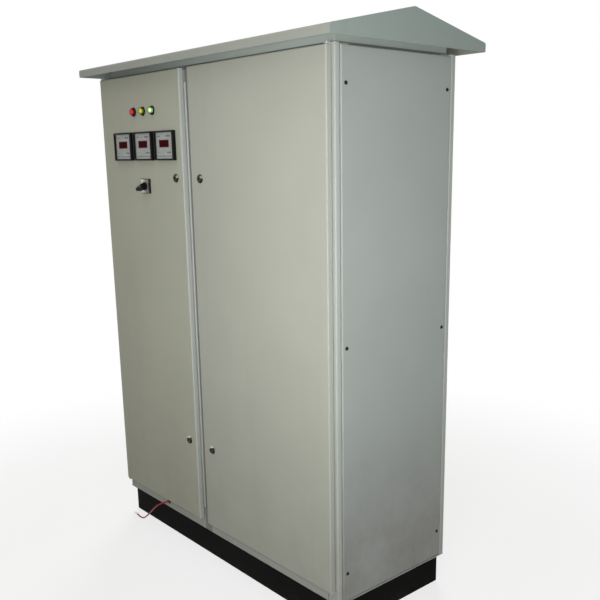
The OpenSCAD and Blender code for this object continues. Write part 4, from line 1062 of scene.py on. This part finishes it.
feed_y = pocket_floor - 0.014
BEND_HIGH = 1.36
BEND_LOW = 1.25
DUCT_ENTRY = 1.205
IN_DUCT = 1.195
feeds = [wire_to_duct(x, feed_y, breaker_ends[0], DUCT_Z[2]) for x in PHASES]
for i, x in enumerate(PHASES):
    top = breaker_ends[1]
    laid = IN_DUCT - 0.006 * i
    out = -0.500 - 0.009 * (2 - i)
    over = 0.030 + 0.012 * (2 - i)
    feeds.append([(x, feed_y, top), (x, feed_y, top + 0.5 * over), (x - 0.012, feed_y, top + over),
                  (x - 0.045, feed_y, top + over + 0.006), (out + 0.03, feed_y, top + over - 0.008),
                  (out, feed_y, top - 0.02), (out - 0.012, feed_y + 0.008, BEND_HIGH),
                  (out - 0.014, feed_y + 0.012, BEND_LOW),
                  (out - 0.008, DUCT_MIDDLE, DUCT_ENTRY - 0.004 * i),
                  (out + 0.012, DUCT_MIDDLE, laid), (out + 0.04, DUCT_MIDDLE, laid)])
wiring("breaker_cables", feeds, 0.0036, black_skin)

# %% [markdown]
# ## Floor
# The cabinet stands on a plain pale floor. To the camera and to reflections the floor is mostly a white
# glow, which fades into the white room further out, so that no horizon shows. The rest of it is ordinary
# matt paint, and that part takes the shadow. For all other rays the floor is a mid grey, because a real
# floor sends less light back up under the canopy than white paper would.

# %% Floor
floor_shape = bmesh.new()
FLOOR_HALF = 30
bmesh.ops.create_grid(floor_shape, x_segments=1, y_segments=1, size=FLOOR_HALF)
floor_mesh = bpy.data.meshes.new("floor")
floor_shape.to_mesh(floor_mesh)
floor_shape.free()
floor_object = bpy.data.objects.new("floor", floor_mesh)
bpy.context.scene.collection.objects.link(floor_object)
floor_object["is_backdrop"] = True

floor_paint = Finish("floor_paint", roughness=0.9, specular=0.1)
floor_tone = floor_paint.mix(floor_paint.noise(1.2), (0.83, 0.83, 0.825), (0.86, 0.86, 0.855))
floor_paint.shade("Base Color", floor_tone)
across_floor, along_floor, _ = floor_paint.axes()
from_cabinet = (across_floor * across_floor + along_floor * along_floor) ** 0.5
glow_share = floor_paint.step(from_cabinet, 0.7, 2.4, 0.72, 1.0)
paper = floor_paint.node("ShaderNodeEmission", {}, {"Color": (1, 1, 1), "Strength": 1.0})
dull = floor_paint.node("ShaderNodeBsdfDiffuse", {}, {"Color": (0.23, 0.228, 0.215)})
matt = Wire(floor_paint, floor_paint.shader.outputs[0])
seen_floor = floor_paint.node("ShaderNodeMixShader", {}, {0: glow_share, 1: matt, 2: paper})


def seen_directly(tree_owner):
    """1 for rays that show the floor or the room: from the camera, or by gloss or glass."""
    rays = [tree_owner.node("ShaderNodeLightPath", {}, {}, name)
            for name in ("Is Camera Ray", "Is Glossy Ray", "Is Transmission Ray")]
    return rays[0].math("MAXIMUM", rays[0].math("MAXIMUM", rays[0], rays[1]), rays[2])


floor_parts = {0: seen_directly(floor_paint), 1: dull, 2: seen_floor}
floor_surface = floor_paint.node("ShaderNodeMixShader", {}, floor_parts)
floor_output = floor_paint.tree.nodes["Material Output"]
floor_paint.tree.links.new(floor_surface.socket, floor_output.inputs["Surface"])
floor_mesh.materials.append(floor_paint.material)
print("floor", 2 * FLOOR_HALF, "m across")

# %% [markdown]
# ## Room
# The room is a soft, slightly warm fill. It shows white where it is seen directly, by the same three kinds
# of ray as the floor. The world has a node tree like a material's, so it borrows the words of a finish.

# %% Room
class Room(Finish):
    """The node tree of the world, with the same words as a finish."""

    def __init__(self, name):
        self.world = bpy.data.worlds.new(name)
        self.world.use_nodes = True
        self.tree = self.world.node_tree


room = Room("studio")
bpy.context.scene.world = room.world
fill = room.node("ShaderNodeBackground", {}, {"Color": (1.0, 0.985, 0.90), "Strength": 0.24})
backdrop = room.node("ShaderNodeBackground", {}, {"Color": (1, 1, 1), "Strength": 1.0})
walls = room.node("ShaderNodeMixShader", {}, {0: seen_directly(room), 1: fill, 2: backdrop})
room.tree.links.new(walls.socket, room.tree.nodes["World Output"].inputs["Surface"])
print("room", room.world.name)

# %% [markdown]
# ## Lamps
# One large lamp stands close to the camera, to the right of the cabinet, so the right door is the brightest
# and the front fades to the left and to the bottom. A second one hangs above and lights the canopy, and a
# third, cooler one stands far off to the right like a window. A last one behind the cabinet shows its rear
# and its left side, and reaches nothing that the photograph shows.

# %% Lamps
def soft_lamp(name, place, target, size, power, spread, colour):
    """A round area lamp at place that looks at target. The camera doesn't see the lamp itself."""
    data = bpy.data.lights.new(name, "AREA")
    data.shape = "DISK"
    data.size = size
    data.energy = power
    data.spread = math.radians(spread)
    data.color = colour
    made = bpy.data.objects.new(name, data)
    made.visible_camera = False
    bpy.context.scene.collection.objects.link(made)
    aim = (Vector(target) - Vector(place)).to_track_quat("-Z", "Y")
    made.matrix_world = Matrix.Translation(place) @ aim.to_matrix().to_4x4()
    print(name, "at", place, power, "W")


soft_lamp("near_lamp", (1.65, -1.62, 1.3), (0.42, -0.26, 1.12), 1.1, 12.5, 105, (0.97, 0.982, 1.0))
soft_lamp("roof_lamp", (-0.3, -1.0, 3.7), (-0.1, -0.2, 1.6), 2.2, 17, 180, (0.98, 0.99, 1.0))
soft_lamp("window_lamp", (4.2, -1.3, 1.7), (0.6, -0.2, 1.0), 2.0, 28, 180, (0.84, 1.0, 0.965))
soft_lamp("rear_lamp", (-3.2, 2.9, 2.0), (-0.2, 0.2, 1.0), 2.2, 25, 60, (1.0, 0.99, 0.96))
bpy.context.scene.view_settings.view_transform = "Standard"

# %% Finish
visual_box = [list(corner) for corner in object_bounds()]
{"cad": cad_box, "visual": visual_box}
print("cad", cad_box, "visual", visual_box)
